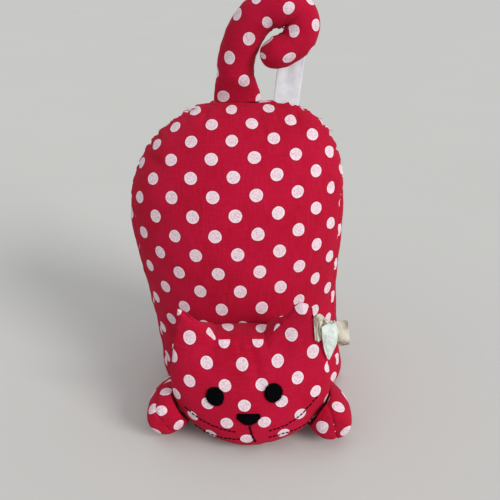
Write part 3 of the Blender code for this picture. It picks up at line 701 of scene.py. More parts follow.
def body_points(z, angle):
    """Points of the body's cover. Angle 0 is the left side, a quarter turn is the front."""
    drop = np.clip((BASE_EDGE_HEIGHT - z) / BASE_EDGE_HEIGHT, 0.0, 1.0)
    inset = BASE_EDGE_INSET * (1 - np.sqrt(1 - drop * drop))
    middle_x = -SIDE_SAG * np.sin(np.pi * z / SAG_SPAN)
    middle_y = z * math.tan(LEAN_BACK)
    half_width = body_half_width(z, np.cos(angle) > 0) - inset
    depth = np.where(np.sin(angle) > 0, BODY_HALF_DEPTH, BACK_HALF_DEPTH)
    half_depth = (depth - inset) * body_thinning(z)
    return np.stack([middle_x - half_width * np.cos(angle),
                     middle_y - half_depth * np.sin(angle), z + 0 * angle], axis=-1)


def body_front(x, z):
    """The y of the body's front at places seen from the front."""
    z = np.maximum(z, BASE_EDGE_HEIGHT)
    middle_x = -SIDE_SAG * np.sin(np.pi * z / SAG_SPAN)
    across = np.minimum(0.985, np.abs(x - middle_x) / body_half_width(z, x < middle_x))
    return z * math.tan(LEAN_BACK) - BODY_HALF_DEPTH * body_thinning(z) * np.sqrt(1 - across ** 2)


def gusset_angle(z):
    return GUSSET_ANGLE * (1 - smooth_step((z - GUSSET_TAPER) / (GUSSET_TOP - GUSSET_TAPER)))


def body_heights():
    low = BASE_EDGE_HEIGHT * (1 - np.cos(np.linspace(0, np.pi / 2, 14)))
    wall = np.linspace(BASE_EDGE_HEIGHT, WIDEST_HEIGHT, 90)
    crown = BODY_HEIGHT - TAIL_OPENING
    top = WIDEST_HEIGHT + (crown - WIDEST_HEIGHT) * np.sin(np.linspace(0, np.pi / 2, 66))
    return np.concatenate([low[:-1], wall, top[1:]])


def body_grid():
    """The whole cover as one grid that runs round the body, and the columns of its four seams."""
    heights = body_heights()
    half = gusset_angle(heights)
    spans = ((-half, half, 18), (half, np.pi - half, 170), (np.pi - half, np.pi + half, 18),
             (np.pi + half, 2 * np.pi - half, 120))
    angles, seams = [], [0]
    for first, last, count in spans:
        share = crowded(count)
        angles.append((first[:, None] + (last - first)[:, None] * share[None, :])[:, :-1])
        seams.append(seams[-1] + count)
    angles.append((2 * np.pi - half)[:, None])
    angle = np.concatenate(angles, axis=1)
    z = np.repeat(heights[:, None], angle.shape[1], axis=1)
    return z, angle, seams


def body_cover(cotton):
    z, angle, seams = body_grid()
    points = body_points(z, angle)
    step = 1e-4
    around = body_points(z, angle + step) - body_points(z, angle - step)
    low = np.maximum(z - step, 0)
    up = body_points(low + 2 * step, angle) - body_points(low, angle)
    out = unit(np.cross(around, up))
    out[0] = (0, 0, -1)
    along_row = run(points, 1)
    length = along_row[:, -1:]
    seam_run = {}
    nearest = np.full(z.shape, 1.0)
    height = lumps(points, 1.0, BODY_LUMPS)
    for number, seam in enumerate(seams[:-1]):
        off = np.abs(along_row - along_row[:, seam:seam + 1])
        off = np.minimum(off, length - off)
        nearest = np.minimum(nearest, off)
        seam_run[number] = run(points[:, seam:seam + 1], 0)
    side = np.where(points[..., 0] < -0.01, 0, 1)
    left_run, right_run = seam_run[1], seam_run[2]
    gathers = np.where(side == 0, pucker(left_run, 1.0), pucker(right_run, 4.0))
    grown = smooth_step((z - GATHERS_GROW_FROM) / GATHERS_GROW_OVER)
    strength = LOW_GATHERS_SHARE + (1 - LOW_GATHERS_SHARE) * grown
    beside = np.exp(-(nearest / BODY_GATHER_REACH) ** 1.5)
    height += groove(nearest)
    height += (BODY_PUFF - BODY_GATHERS * gathers) * strength * beside
    for fold in BODY_CREASES:
        height += crease(points, *fold)
    rest = smooth_step(z / 0.006)
    points = points + out * (np.maximum(height, DEEPEST_FOLD) * rest)[..., None]
    grids = []
    for number, name in enumerate(("left_gusset", "front", "right_gusset", "back")):
        panel = points[:, seams[number]:seams[number + 1] + 1]
        flat = flatten(panel, 34, 26) if number % 2 else strip_map(panel)
        grids.append((panel, printed(flat, PRINTS[name])))
    grids.append(cap(points[0], BASE_RINGS, (0, 0, 0)))
    grids.append(cap(points[-1], CROWN_RINGS, (0, 0, -0.0012)))
    made = fitted(build_mesh("body_cover", grids, cotton, closed=True), "body_front_panel",
                  "body_back_panel", "left_side_gusset", "right_side_gusset", "base_panel")


def cap(edge, shares, rise):
    """Close a ring with cloth, drawn in to its middle. The middle is moved by the rise."""
    shares = np.array(shares)[:, None, None]
    middle = edge[:-1].mean(axis=0)
    rows = middle + (edge[None] - middle) * shares + np.array(rise) * (1 - shares ** 2)
    flat = (rows - middle)[..., [0, 1] if np.ptp(edge[:, 1]) > np.ptp(edge[:, 2]) else [0, 2]]
    return rows, printed(flat, PRINTS["cap"])


# Head

def head_place(level, across):
    """Where the rows of the head cross it, as x and z."""
    height = HEAD_LOW + (HEAD_MIDDLE - HEAD_LOW) * (1 - np.cos(np.pi * np.minimum(level, 0.5)))
    half = HEAD_HALF_WIDTH * np.sin(np.pi * np.minimum(level, 0.5)) ** JOWL_ROUNDING
    upper = np.maximum(2 * level - 1, 0.0)
    rise = smooth_step(upper) * 0.35 + upper * 0.65
    left_x = HEAD_X - half + (EAR_TIP_LEFT[0] - HEAD_X + HEAD_HALF_WIDTH) * rise ** 1.6
    right_x = HEAD_X + half + (EAR_TIP_RIGHT[0] - HEAD_X - HEAD_HALF_WIDTH) * rise ** 1.6
    left_z = height + (EAR_TIP_LEFT[1] - HEAD_MIDDLE) * rise
    right_z = height + (EAR_TIP_RIGHT[1] - HEAD_MIDDLE) * rise
    share = (across + 1) / 2
    dip = 1 - np.maximum(0.0, (np.abs(across + 0.04) - 0.42) / 0.58)
    z = left_z + (right_z - left_z) * share - EAR_DIP * smooth_step(upper) * dip
    return left_x + (right_x - left_x) * share, z


def head_sides(level, across):
    """Points of the head's front and back, and how full the stuffing is there."""
    x, z = head_place(level, across)
    lowest = (1 - math.cos(HEAD_START_TURN)) / 2
    rise = 2 * (level - lowest) / (1 - lowest) - 1
    full = np.sqrt(np.maximum(0, 1 - across ** 2)) * np.sqrt(np.maximum(0, 1 - rise ** 2))
    droop = 1 - CHIN_FULLNESS * (z - HEAD_MIDDLE) / (HEAD_MIDDLE - HEAD_LOW)
    front_y = HEAD_FRONT_Y - FACE_DEPTH * np.maximum(0.25, droop) * full
    sides = 1 - NAPE_SIDE_THINNING * smooth_step((np.abs(across) - 0.45) / 0.4)
    back_y = HEAD_FRONT_Y + NAPE_DEPTH * (1 - (1 - full) ** 2.2) * sides
    back_y = np.minimum(back_y, body_front(x, z) - HEAD_SEAT_GAP)
    return np.stack([x, front_y, z], axis=-1), np.stack([x, back_y, z], axis=-1), full


def head_grids():
    turn = np.linspace(HEAD_START_TURN, math.pi, 120)
    level = ((1 - np.cos(turn)) / 2)[:, None]
    across = np.sin(np.linspace(-math.pi / 2, math.pi / 2, 150))[None, :]
    return head_sides(*np.broadcast_arrays(level, across))


def edge_distance(points):
    """Distance of each place of a panel from its outline, and the run along the nearest side."""
    across, along = run(points, 1), run(points, 0)
    options = np.stack([across, across[:, -1:] - across, along, along[-1:] - along])
    runs = np.stack([along[:, :1] + 0 * across, along[:, -1:] + 0 * across + 0.2,
                     across[:1] + 0 * across + 0.4, across[-1:] + 0 * across + 0.6])
    pick = options.argmin(axis=0)
    return options.min(axis=0), np.take_along_axis(runs, pick[None], axis=0)[0]


def round_ears(points, outwards):
    """Widen and fill the cloth near both ear tips, so that the stuffed ears end bluntly."""
    inside = smooth_step(edge_distance(points)[0] / 0.004)
    for tip, axis in ((EAR_TIP_LEFT, EAR_AXIS_LEFT), (EAR_TIP_RIGHT, EAR_AXIS_RIGHT)):
        axis = np.array((math.sin(axis), math.cos(axis)))
        off = points[..., [0, 2]] - np.array(tip)
        lateral = off @ np.array((axis[1], -axis[0]))
        along = np.maximum(-(off @ axis), 0.8 * np.abs(lateral) + 1e-5)
        near = np.exp(-along / EAR_ROUND_REACH) * (points[..., 2] > HEAD_MIDDLE)
        grow = lateral * (np.sqrt(1 + EAR_BLUNTNESS / along * near) - 1)
        points[..., 0] += grow * axis[1]
        points[..., 2] -= grow * axis[0]
        reach = np.linalg.norm(off, axis=-1) / EAR_FILLING_REACH
        points[..., 1] += outwards * EAR_FILLING * np.exp(-reach ** 2) * inside


def outline_ways(panel):
    """The ways out of a panel along its outline. They are zero inside it."""
    ways = np.zeros(panel.shape)
    ways[0] += unit(panel[0] - panel[1])
    ways[-1] += unit(panel[-1] - panel[-2])
    ways[:, 0] += unit(panel[:, 0] - panel[:, 1])
    ways[:, -1] += unit(panel[:, -1] - panel[:, -2])
    ways[..., 1] = 0
    return unit(ways)


def head_cover(cotton):
    front, back, full = head_grids()
    rise = smooth_step((back[..., 2] - NAPE_LIFT_FROM) / 0.02) * full ** 0.5
    back[..., 2] += NAPE_LIFT * rise
    back[..., 1] = np.minimum(back[..., 1], body_front(back[..., 0], back[..., 2]) - HEAD_SEAT_GAP)
    round_ears(front, -1)
    round_ears(back, 1)
    outline = outline_ways(front)
    edge = np.linalg.norm(outline, axis=-1) > 0
    grids = []
    for number, points in enumerate((front, back)):
        across, along = np.gradient(points, axis=1), np.gradient(points, axis=0)
        out = unit(np.cross(across, along)) * (1 if number == 0 else -1)
        out[edge] = outline[edge]
        off, length = edge_distance(points)
        height = groove(off, SEAM_DEPTH, HEAD_SEAM_WIDTH)
        height -= HEAD_GATHERS * pucker(length, 2.0) * np.exp(-off / HEAD_GATHER_REACH)
        if number == 0:
            height += lumps(points, 5.0, FACE_LUMPS) * full
            for fold in FACE_CREASES:
                height += crease(points, *fold)
        tips = [np.linalg.norm(points[..., [0, 2]] - np.array(tip), axis=-1)
                for tip in (EAR_TIP_LEFT, EAR_TIP_RIGHT)]
        calm = smooth_step(np.minimum(*tips) / 0.012)
        limit = np.where(edge, -SEAM_DEPTH, np.maximum(height, DEEPEST_FOLD)) * calm
        moved = points + out * limit[..., None]
        grids.append((moved, printed(flatten(moved, 30, 30), PRINTS[("face", "nape")[number]])))
    made = fitted(build_mesh("head_cover", grids, cotton, closed=True),
                  "head_front_panel", "head_back_panel")
    return grids[0][0]


# Paws

def cheek_x(y, z, side):
    """How far the head reaches to one side, at places beside it."""
    y = np.minimum(y + PAW_PRESS, np.maximum(y - PAW_PRESS, HEAD_FRONT_Y))
    height = np.clip((z - HEAD_LOW) / (HEAD_MIDDLE - HEAD_LOW), 0.01, 0.99)
    level = np.arccos(1 - height) / math.pi
    low, high = np.zeros(z.shape), np.ones(z.shape)
    for _ in range(24):
        middle = (low + high) / 2
        front, back, _ = head_sides(level, side * middle)
        inside = (front[..., 1] <= y) & (y <= back[..., 1])
        low, high = np.where(inside, middle, low), np.where(inside, high, middle)
    return head_place(level, side * low)[0]


def paw_cover(name, paw, cotton):
    root_x, toe, seam_turn = paw
    half = 48
    turn = (math.pi / 2 * 0.995 * np.linspace(0, 1, 80) ** 0.85)[:, None]
    angle = np.linspace(math.pi / 2, 2.5 * math.pi, 2 * half + 1)[None, :]
    along = np.sin(turn)
    growth = smooth_step(along / PAW_SWELL_SHARE)
    size = (PAW_ROOT_SHARE + (1 - PAW_ROOT_SHARE) * growth) * np.cos(turn) ** PAW_BLUNTNESS
    centre_z = PAW_HALF_HEIGHT + PAW_REST_GAP
    side = math.copysign(1, toe[0])
    angle = angle - side * seam_turn
    out_x, out_z = np.cos(angle), np.sin(angle)
    start = body_front(root_x + PAW_ROOT_SHARE * PAW_HALF_WIDTH * out_x,
                       centre_z + PAW_ROOT_SHARE * PAW_HALF_HEIGHT * out_z) - HEAD_SEAT_GAP
    points = np.stack([root_x + (toe[0] - root_x) * along + PAW_HALF_WIDTH * size * out_x,
                       start + (toe[1] - start) * along,
                       centre_z + PAW_HALF_HEIGHT * size * out_z], axis=-1)
    cheek = cheek_x(points[..., 1], points[..., 2], side) + side * HEAD_SEAT_GAP
    points[..., 0] = side * np.maximum(side * points[..., 0], side * cheek)
    out = unit(np.stack([np.cos(turn) * out_x / PAW_HALF_WIDTH,
                         -np.sin(turn) / PAW_REACH + 0 * out_x,
                         np.cos(turn) * out_z / PAW_HALF_HEIGHT], axis=-1))
    round_it = run(points, 1)
    total = round_it[:, -1:]
    off = np.minimum(np.minimum(round_it, total - round_it),
                     np.abs(round_it - round_it[:, half:half + 1]))
    length = run(points, 0)[:, :1]
    beside = np.exp(-off / SMALL_GATHER_REACH)
    height = groove(off) - PAW_GATHERS * pucker(length, 3.0) * beside
    height += lumps(points, 7.0, PAW_LUMPS)
    rest = smooth_step(points[..., 2] / 0.004)
    points = points + out * (height * rest)[..., None]
    grids = []
    for first, part in ((0, "_outer"), (half, "_inner")):
        panel = points[:, first:first + half + 1]
        grids.append((panel, printed(flatten(panel, 20, 16), PRINTS[name + part])))
    grids.append(cap(points[-1], PAW_RINGS, (0, -0.0002, 0)))
    fitted(build_mesh(name, grids, cotton, closed=True), name + "_cover")


# Tail

def smooth_curve(points, samples):
    """Points along a Catmull-Rom curve through the given points."""
    fixed = [Vector(point) for point in points]
    fixed = [2 * fixed[0] - fixed[1]] + fixed + [2 * fixed[-1] - fixed[-2]]
    made = []
    spans = len(fixed) - 3
    for step in range(samples + 1):
        place = spans * step / samples
        span = min(int(place), spans - 1)
        t = place - span
        a, b, c, d = fixed[span:span + 4]
        made.append(0.5 * (2 * b + (c - a) * t + (2 * a - 5 * b + 4 * c - d) * t ** 2
                           + (3 * b - a - 3 * c + d) * t ** 3))
    return made


def tail_path():
    crown_x = -SIDE_SAG * math.sin(math.pi * BODY_HEIGHT / SAG_SPAN)
    crown_y = BODY_HEIGHT * math.tan(LEAN_BACK)
    root = BODY_HEIGHT - TAIL_OPENING + 0.0003
    return [(crown_x + TAIL_RADIUS * x, crown_y + TAIL_RADIUS * y, root + TAIL_RADIUS * z)
            for x, y, z in TAIL_BENDS]


def tail_pattern(path, share):
    """The middle line of the tail's flat cloth, cut straighter and longer than it curls."""
    steps = np.diff(path[:, [0, 2]], axis=0)
    turn = np.unwrap(np.arctan2(steps[:, 1], steps[:, 0]))
    bent = smooth_step((share[1:] - CURL_START) / EASE_RUN_IN)
    turn = turn - (turn - np.interp(CURL_START, share[1:], turn)) * CURL_SLACK * bent
    near_tip = smooth_step((share[1:] - TIP_START) / EASE_RUN_IN)
    length = np.linalg.norm(steps, axis=1) * (1 + CURL_EASE * bent + TIP_EASE * near_tip)
    steps = np.stack([np.cos(turn), np.sin(turn)], axis=-1) * length[:, None]
    line = path[0, [0, 2]] + np.concatenate([np.zeros((1, 2)), np.cumsum(steps, axis=0)])
    side = np.stack([np.sin(turn), -np.cos(turn)], axis=-1)
    return line, np.concatenate([side[:1], side])


def tail_rings(share, angle):
    """The tail's middle line and its rings of points, with their ways out and the taper."""
    path = np.array([tuple(place) for place in smooth_curve(tail_path(), TAIL_STEPS)])
    way = unit(np.gradient(path, axis=0))
    way[0] = (0, 0, 1)
    side = unit(np.cross(np.array([0, 1, 0]), way))
    front = unit(np.cross(way, side))
    spread = smooth_step(share / TAIL_FLARE_SHARE)
    curl = 1 - TAIL_THINNING * smooth_step((share - 0.45) / 0.4)
    at_tip = np.maximum(0.0, (share - TAIL_ROUND_FROM) / (1 - TAIL_ROUND_FROM))
    taper = np.sqrt(np.maximum(0.0, 1 - at_tip ** 2))
    wide, thick = ((root + (TAIL_RADIUS - root) * spread) * curl * taper
                   for root in (TAIL_ROOT_HALF_WIDTH, TAIL_ROOT_HALF_DEPTH))
    across, ahead = np.cos(angle)[None, :, None], np.sin(angle)[None, :, None]
    points = (path[:, None] + wide[:, None, None] * across * side[:, None]
              + thick[:, None, None] * ahead * front[:, None])
    out = unit(across * side[:, None] + ahead * front[:, None])
    return path, points, out, taper


def tail_folds(share, angle, points, path):
    """Seams, gathers and the pleats inside the curl, as a height over the tail."""
    length = run(path[:, None], 0)
    in_curl = np.cos(angle)[None, :] > 0
    gather = np.where(in_curl, pucker(length, 6.0), pucker(length, 9.0))
    inner = in_curl * smooth_step((share[:, None] - 0.3) / 0.15)
    off = np.abs(np.sin(angle))[None, :] * TAIL_RADIUS
    beside = np.exp(-off / SMALL_GATHER_REACH)
    height = groove(off, TAIL_SEAM_DEPTH) - TAIL_SEAM_DEPTH * gather * beside
    height = height - CURL_GATHERS * inner * gather * np.exp(-off / CURL_GATHER_REACH)
    inside = np.minimum(angle, 2 * math.pi - angle)[None, :]
    bunched = smooth_step((share - 0.42) / 0.08) * (1 - smooth_step((share - 0.76) / 0.06))
    pleats = sum(depth * np.exp(-((share - place) / width) ** 2)
                 for place, depth, width in TAIL_PLEATS)
    fade = np.exp(-(inside / PLEAT_REACH) ** 2)
    height = height + (PLEAT_PUFF * bunched - pleats)[:, None] * fade
    return np.maximum(height + lumps(points, 3.0, TAIL_LUMPS), DEEPEST_FOLD)


def tail_cover(cotton):
    half = 40
    share = np.linspace(0, 1, TAIL_STEPS + 1)
    angle = np.linspace(0, 2 * math.pi, 2 * half + 1)
    path, points, out, taper = tail_rings(share, angle)
    height = tail_folds(share, angle, points, path)
    points = points + out * height[..., None] * np.minimum(1, taper * 3)[:, None, None]
    flat_path, flat_side = tail_pattern(path, share)
    grids = []
    for first, side, part in ((0, -1, "tail_back"), (half, 1, "tail_front")):
        panel = points[:, first:first + half + 1]
        bend = angle[first:first + half + 1] - angle[first] - math.pi / 2
        reach = TAIL_RADIUS * (np.sin(bend) * 0.35 + bend * 0.75) * side
        cloth = flat_path[:, None] + flat_side[:, None] * reach[None, :, None]
        grids.append((panel, printed(cloth, PRINTS[part])))
    fitted(build_mesh("tail", grids, cotton), "tail_cover")


# Felt and stitches

def face_surface(face):
    """The stuffed face as a surface to lay things on."""
    return BVHTree.FromPolygons([tuple(place) for place in face.reshape(-1, 3)],
                                grid_faces(*face.shape[:2]))


def seen_from_front(surface, x, z):
    """The point of the face seen from the front at a place, and its direction, or two Nones."""
    return surface.ray_cast(Vector((x, -0.3, z)), Vector((0, 1, 0)))[:2]


def on_face(surface, x, z):
    """The point of the face at or nearest to a place, and its outward direction."""
    place, normal = seen_from_front(surface, x, z)
    if place is None:
        place, normal = surface.find_nearest(Vector((x, HEAD_FRONT_Y - 0.012, z)))[:2]
    return place, normal if normal.y < 0 else -normal


def joined(name, parts, skin):
    """One mesh from several (points, faces) parts."""
    points, faces = [], []
    for part_points, part_faces in parts:
        start = len(points)
        points.extend(tuple(place) for place in part_points)
        faces.extend(tuple(start + index for index in face) for face in part_faces)
    mesh = bpy.data.meshes.new(name)
    mesh.from_pydata(points, [], faces)
    for polygon in mesh.polygons:
        polygon.use_smooth = True
    mesh.materials.append(skin)
    return added(name, mesh)


def spike(root, way, length, width, chance):
    """One short fibre, as a thin three-sided spike."""
    side = way.orthogonal().normalized()
    other = way.cross(side).normalized()
    ring = [root + width * (math.cos(turn) * side + math.sin(turn) * other)
            for turn in (0, 2 * math.pi / 3, 4 * math.pi / 3)]
    tip = root + length * (way + 0.5 * (chance.random() - 0.5) * side).normalized()
    return [*ring, tip], [(0, 2, 1), (0, 1, 3), (1, 2, 3), (2, 0, 3)]


def fringe(surface, middle, reach, out, chance):
    """Short loose fibres round a cut of felt."""
    for _ in range(FRINGE_COUNT):
        turn = 2 * math.pi * chance.random()
        length = reach(turn) * (0.93 + 0.07 * chance.random())
        place, _ = on_face(surface, middle[0] + length * math.cos(turn),
                           middle[1] + length * math.sin(turn))
        way = Vector((math.cos(turn), 0, math.sin(turn))) + (1.2 * chance.random() - 0.2) * out
        yield spike(place + out * FELT * 0.5, way.normalized(), 0.0004 + 0.0008 * chance.random(),
                    0.00007, chance)


def felt_piece(name, surface, middle, reach, felt, seed):
    """A cut of felt on the face. The reach gives its outline's distance from the middle."""
    chance = random.Random(seed)
    around, rings = 96, (0.0, 0.3, 0.55, 0.75, 0.88, 0.96, 1.0)
    _, out = on_face(surface, *middle)
    top, low = [], []
    fray = [1 + FELT_FRAY * (chance.random() - 0.5) for _ in range(around)]
    for ring in rings[1:]:
        at_edge = max(0.0, (ring - FELT_ROUND_FROM) / (1 - FELT_ROUND_FROM))
        height = FELT_LIFT + (FELT * math.sqrt(1 - at_edge ** 2) if ring < 1 else 0)
        for step in range(around):
            turn = 2 * math.pi * step / around
            length = reach(turn) * ring * (fray[step] if ring > 0.9 else 1)
            x = middle[0] + length * math.cos(turn)
            z = middle[1] + length * math.sin(turn)
            place, _ = on_face(surface, x, z)
            top.append(place + out * height)
            if ring == 1.0:
                low.append(place - out * FELT_SINK)
    place, _ = on_face(surface, *middle)
    points = [place + out * (FELT_LIFT + FELT)] + top + low
    faces = [(0, 1 + step, 1 + (step + 1) % around) for step in range(around)]
    for ring in range(len(rings) - 1):
        base = 1 + ring * around
        for step in range(around):
            after = (step + 1) % around
            faces.append((base + step, base + around + step, base + around + after, base + after))
    last = 1 + (len(rings) - 1) * around
    faces.append(tuple(last + step for step in reversed(range(around))))
    fibres = fringe(surface, middle, reach, out, chance)
    fitted(joined(name, [(points, faces), *fibres], felt), name)


def half_moon(turn):
    """Outline of the nose from its middle: straight on top and round below."""
    up = NOSE_HEIGHT / 2
    if math.sin(turn) > 0:
        flat = up / max(math.sin(turn), 1e-6)
        return min(flat, NOSE_HALF_WIDTH / max(abs(math.cos(turn)), 1e-6), NOSE_HALF_WIDTH * 1.04)
    low, high = 0.0, 2 * NOSE_HALF_WIDTH
    for _ in range(30):
        reach = (low + high) / 2
        x, z = reach * math.cos(turn) / NOSE_HALF_WIDTH, (reach * math.sin(turn) - up) / NOSE_HEIGHT
        low, high = (reach, high) if x * x + z * z < 1 else (low, reach)
    return low


def stitch(surface, start, end, radius):
    """One stitch that lies on the face between two places and dips into the cloth at its ends."""
    steps, sides = 12, 8
    middle_line = []
    for step in range(steps + 1):
        share = step / steps
        place, out = on_face(surface, *(start.lerp(end, share)))
        lift = radius * (0.9 * math.sin(math.pi * share) ** 0.5 - STITCH_DIP)
        middle_line.append((place + out * lift, out))
    points = []
    for step, (place, out) in enumerate(middle_line):
        before = middle_line[max(step - 1, 0)][0]
        after = middle_line[min(step + 1, steps)][0]
        way = (after - before).normalized()
        side = way.cross(out).normalized()
        share = step / steps
        size = radius * min(1.0, 0.25 + 3.2 * math.sin(math.pi * share))
        for turn in range(sides):
            angle = 2 * math.pi * turn / sides
            points.append(place + size * (math.cos(angle) * side + math.sin(angle) * out))
    return points, tube_faces(steps, sides)


def stitched_line(name, surface, places, length, gap, radius, thread):
    """A row of stitches through the given places."""
    line = smooth_curve([(*head_shares(place), 0) for place in places], 200)
    flat = [Vector((place.x, place.y)) for place in line]
    run_length = [0.0]
    for here, after in zip(flat, flat[1:]):
        run_length.append(run_length[-1] + (after - here).length)
    count = max(1, round(run_length[-1] / (length + gap)))
    pitch = run_length[-1] / count

    def at(distance):
        return Vector([float(np.interp(distance, run_length, [place[axis] for place in flat]))
                       for axis in (0, 1)])
    parts = []
    for number in range(count):
        wander = 0.00018 * math.sin(number * 2.7 + len(name))
        start, end = at(number * pitch + gap / 2), at((number + 1) * pitch - gap / 2)
        off = Vector((0, wander))
        parts.append(stitch(surface, start + off, end + off, radius))
    fitted(joined(name, parts, thread), name)


def ribbon_layer(surface, edges, size, lift, folds, seed):
    """One crumpled layer of ribbon between two edges: its two faces, and how much browner its
    colour is painted along its folds.
    """
    rows, columns = size
    left, right = (smooth_curve([(*head_shares(spot), 0) for spot in edge], rows) for edge in edges)
    outer, fold_brown = np.zeros((rows + 1, columns + 1, 3)), np.zeros((rows + 1, columns + 1))
    for row in range(rows + 1):
        fray = RIBBON_FRAY * math.sin(row * 2.9 + seed)
        for column in range(columns + 1):
            spot = Vector((column / columns, row / rows))
            flat = left[row].lerp(right[row], spot.x)
            place = seen_from_front(surface, flat.x, flat.y)[0]
            seat = place.y if place else HEAD_FRONT_Y
            coarse, fine = (noise.noise(Vector((flat.x * scale, flat.y * scale, seed)))
                            for scale in (260, 900))
            height = RIBBON_CRUMPLE * (1 + coarse + fine / 2)
            for start, end, width, rise, brown_share in folds:
                start, end = Vector(start), Vector(end)
                share = (spot - start).dot(end - start) / (end - start).length_squared
                off = (spot - start.lerp(end, max(0.0, min(1.0, share)))).length
                near = math.exp(-(off / width) ** 2)
                height += rise * near
                # How much browner the colour is painted here, from the nearest fold's listed share
                fold_brown[row, column] = max(fold_brown[row, column], brown_share * near)
            outer[row, column] = (flat.x + fray * (2 * spot.x - 1), seat - lift - height,
                                  flat.y + fray * (2 * spot.y - 1))
    inner = outer + np.array([0, RIBBON_THICKNESS, 0])
    return outer, inner, fold_brown


def layer_grids(outer, inner, fold_brown=None):
    """Closed grids of a thin layer with its rim, their cloth maps, and how much browner each place
    is painted.
    """
    cloth = np.stack([run(outer, 1), run(outer, 0)], axis=-1)
    fold_brown = np.zeros(outer.shape[:2]) if fold_brown is None else fold_brown
    grids = [(outer, cloth, fold_brown), (inner, cloth, fold_brown)]
    for line in ((0, slice(None)), (-1, slice(None)), (slice(None), 0), (slice(None), -1)):
        grids.append(tuple(np.stack([one[line], other[line]])
                           for one, other in ((outer, inner), (cloth, cloth), (fold_brown, fold_brown))))
    return grids


def ribbon(surface, cream, mint):
    """The frayed ribbon at the right ear: two crumpled cream layers and a pale end over them."""
    layers = [ribbon_layer(surface, BOW_EDGES, (96, 30), BOW_LIFT, BOW_FOLDS, 1),
              ribbon_layer(surface, TURN_EDGES, (40, 20), TURN_LIFT, TURN_FOLDS, 4)]
    grids = [grid for layer in layers for grid in layer_grids(*layer)]
    made = build_mesh("ribbon_bow_cloth", grids, cream, closed=True)
    ribbon_sheet(made, "ribbon_bow",
                 sum(surface_area(layer[0]) for layer in layers))
    layer = ribbon_layer(surface, END_EDGES, (48, 24), END_LIFT, END_FOLDS, 2)
    made = build_mesh("ribbon_end_cloth", layer_grids(*layer), mint, closed=True)
    ribbon_sheet(made, "ribbon_end", surface_area(layer[0]))


def surface_area(points):
    """Area of one layer of cloth."""
    across, along = np.diff(points, axis=1)[:-1], np.diff(points, axis=0)[:, :-1]
    return float(np.linalg.norm(np.cross(across, along), axis=-1).sum())


def ribbon_sheet(made, node, area):
    fitted(made, node)


def crown_height(x):
    """Height of the crown seam at a place across the body."""
    low, high = WIDEST_HEIGHT, BODY_HEIGHT
    for _ in range(30):
        middle = (low + high) / 2
        middle_x = -SIDE_SAG * math.sin(math.pi * middle / SAG_SPAN)
        inside = abs(x - middle_x) < float(body_half_width(np.array(middle), x < middle_x))
        low, high = (middle, high) if inside else (low, middle)
    return low


def care_label(satin_cloth):
    """The bare satin label, curled a little."""
    rows, columns = 60, 24
    outer = np.zeros((rows + 1, columns + 1, 3))
    for row in range(rows + 1):
        for column in range(columns + 1):
            share, up = column / columns - 0.5, row / rows
            x = LABEL_X + share * LABEL_WIDTH
            low = crown_height(x) - LABEL_SEAM_DEPTH
            z = low + (crown_height(LABEL_X) + LABEL_LENGTH - low) * up
            y = crown_height(x) * math.tan(LEAN_BACK) + LABEL_LEAN_BACK * (z - low)
            y += LABEL_BULGE * math.sin(math.pi * up)
            y += LABEL_CUP * math.cos(math.pi * share) * up
            y += LABEL_RIPPLE * math.sin(9 * share + 5 * up) * up
            outer[row, column] = (x + (z - low) * math.tan(LABEL_TILT), y, z)
    inner = outer + np.array([0, LABEL_THICKNESS, 0])
    made = build_mesh("care_label_cloth", layer_grids(outer, inner), satin_cloth, closed=True)
    fitted(made, "care_label")


def loose_threads(red_thread):
    """Short ends of sewing thread that stick out of the seams."""
    parts = []
    for x, way in THREAD_ENDS:
        height = crown_height(x)
        root = Vector((x, height * math.tan(LEAN_BACK) - 0.0006, height - 0.0004))
        line = [root + Vector(way) * (step / 10) + Vector((0.0006, -0.0004, 0.0005))
                * math.sin(math.pi * step / 10) for step in range(11)]
        parts.append(tube(line, THREAD_END_RADIUS))
    made = joined("seam_threads", parts, red_thread)
    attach(made, "root")


def tube(line, radius, sides=6):
    """A thin closed tube along a line."""
    points = []
    for step, place in enumerate(line):
        way = (line[min(step + 1, len(line) - 1)] - line[max(step - 1, 0)]).normalized()
        side = way.orthogonal().normalized()
        other = way.cross(side)
        for turn in range(sides):
            angle = 2 * math.pi * turn / sides
            points.append(place + radius * (math.cos(angle) * side + math.sin(angle) * other))
    return points, tube_faces(len(line) - 1, sides)


def head_shares(place):
    """A place on the head from its shares across and up, as (x, z)."""
    return (HEAD_X + HEAD_HALF_WIDTH * place[0], HEAD_LOW + (HEAD_MIDDLE - HEAD_LOW) * place[1])


def soft_room():
    """Even light from all round, and a plain pale background where no floor is seen."""
    world = bpy.data.worlds.new("soft_room")
    world.use_nodes = True
    world.node_tree.nodes.clear()
    room = Nodes(world.node_tree)
    light = room.node("ShaderNodeBackground", None,
                      {"Color": (0.96, 0.98, 1.0, 1), "Strength": ROOM_LIGHT})
    seen = room.node("ShaderNodeBackground", None, {"Color": rgb(203, 202, 199)})
    camera, glossy, through = (room.node("ShaderNodeLightPath", output=ray) for ray in
                               ("Is Camera Ray", "Is Glossy Ray", "Is Transmission Ray"))
    mix = room.node("ShaderNodeMixShader", None,
                    {0: camera.highest(glossy).highest(through), 1: light, 2: seen})
    room.node("ShaderNodeOutputWorld", None, {"Surface": mix})
    bpy.context.scene.world = world


def pale_floor():
    paint = Paint("pale_floor", 0.95, 0.0)
    cloud = paint.noise(paint.place(), 3.0)
    paint.colour(paint.blend(cloud, rgb(196, 195, 192), rgb(200, 199, 196)))
    ways = ((-1, -1), (1, -1), (1, 1), (-1, 1))
    corners = [(x * FLOOR_REACH, y * FLOOR_REACH, 0) for x, y in ways]
    mesh = bpy.data.meshes.new("floor")
    mesh.from_pydata(corners, [], [(0, 1, 2, 3)])
    mesh.materials.append(paint.material)
    added("floor", mesh)


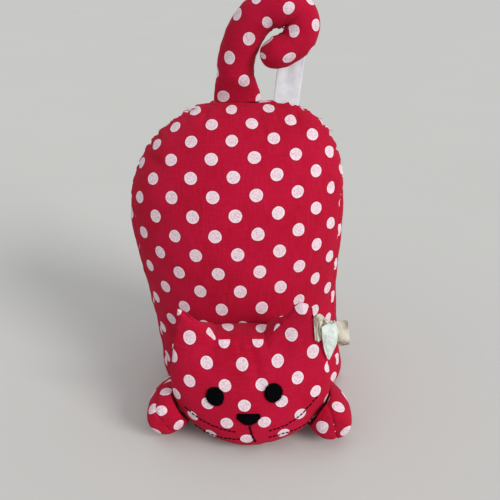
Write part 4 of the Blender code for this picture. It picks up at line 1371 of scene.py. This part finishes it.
def window_light():
    """Soft light from the upper right."""
    light = bpy.data.lights.new("window", "SUN")
    light.energy = WINDOW_LIGHT
    light.angle = WINDOW_SOFTNESS
    light.color = (1.0, 0.985, 0.965)
    lamp = added("window", light)
    lamp.rotation_mode = "QUATERNION"
    lamp.rotation_quaternion = Vector(WINDOW_WAY).to_track_quat("-Z", "Y")
    lamp.location = (0.6, -0.6, 1.0)


def front_view():
    camera = bpy.data.cameras.new("camera")
    camera.sensor_width = 36
    camera.lens = CAMERA_LENS
    camera.clip_start = 0.01
    view = added("camera", camera)
    view.location = CAMERA_PLACE
    view.rotation_euler = (CAMERA_TILT, 0, 0)
    bpy.context.scene.camera = view
    bpy.context.scene.view_settings.view_transform = "Standard"


pale_floor()
soft_room()
window_light()
front_view()

cotton = dotted_cotton()
body_cover(cotton)
face = head_cover(cotton)
paw_cover("left_paw", LEFT_PAW, cotton)
paw_cover("right_paw", RIGHT_PAW, cotton)
tail_cover(cotton)

felt = fibre("black_felt", (4, 4, 5), (13, 12, 14), 1400.0, 0.0004, 0.95)
thread = fibre("black_thread", (6, 5, 7), (22, 18, 22), 2500.0, 0.0001, 0.7)
surface = face_surface(face)
for name, middle, seed in (("left_eye", LEFT_EYE, 3), ("right_eye", RIGHT_EYE, 8)):
    felt_piece(name, surface, middle, lambda turn: EYE_RADIUS, felt, seed)
felt_piece("nose", surface, NOSE_CENTRE, half_moon, felt, 5)
for name, places in STITCHES.items():
    size = MOUTH_STITCH if name == "mouth_thread" else WHISKER_STITCH
    stitched_line(name, surface, places, *size, thread)
label = satin("label_satin", (222, 226, 231), (210, 214, 219))
# The last colour is the brown painted along some of the ribbon's folds and ends
cream = satin("cream_ribbon", (216, 210, 195), (199, 190, 172), (132, 108, 82))
mint = satin("pale_ribbon", (226, 238, 231), (214, 226, 218))
care_label(label)
ribbon(surface, cream, mint)
loose_threads(fibre("red_sewing_thread", (130, 14, 40), (196, 60, 92), 2500.0, 0.0001, 0.8))
wadding = fibre("fibre_wadding", (214, 213, 208), (240, 240, 236), 500.0, 0.001, 0.95)
canvas = fibre("sand_bag_canvas", (176, 160, 128), (206, 192, 160), 900.0, 0.0004, 0.9)
# What the solids that are hidden or replaced are made of
finishes = {"label": label, "ribbon_bow": cream, "ribbon_end": mint, "wadding": wadding,
            "sand_bag": canvas}
for name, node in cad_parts.items():
    for part, finish in finishes.items():
        if part in name:
            node.data.materials.clear()
            node.data.materials.append(finish)
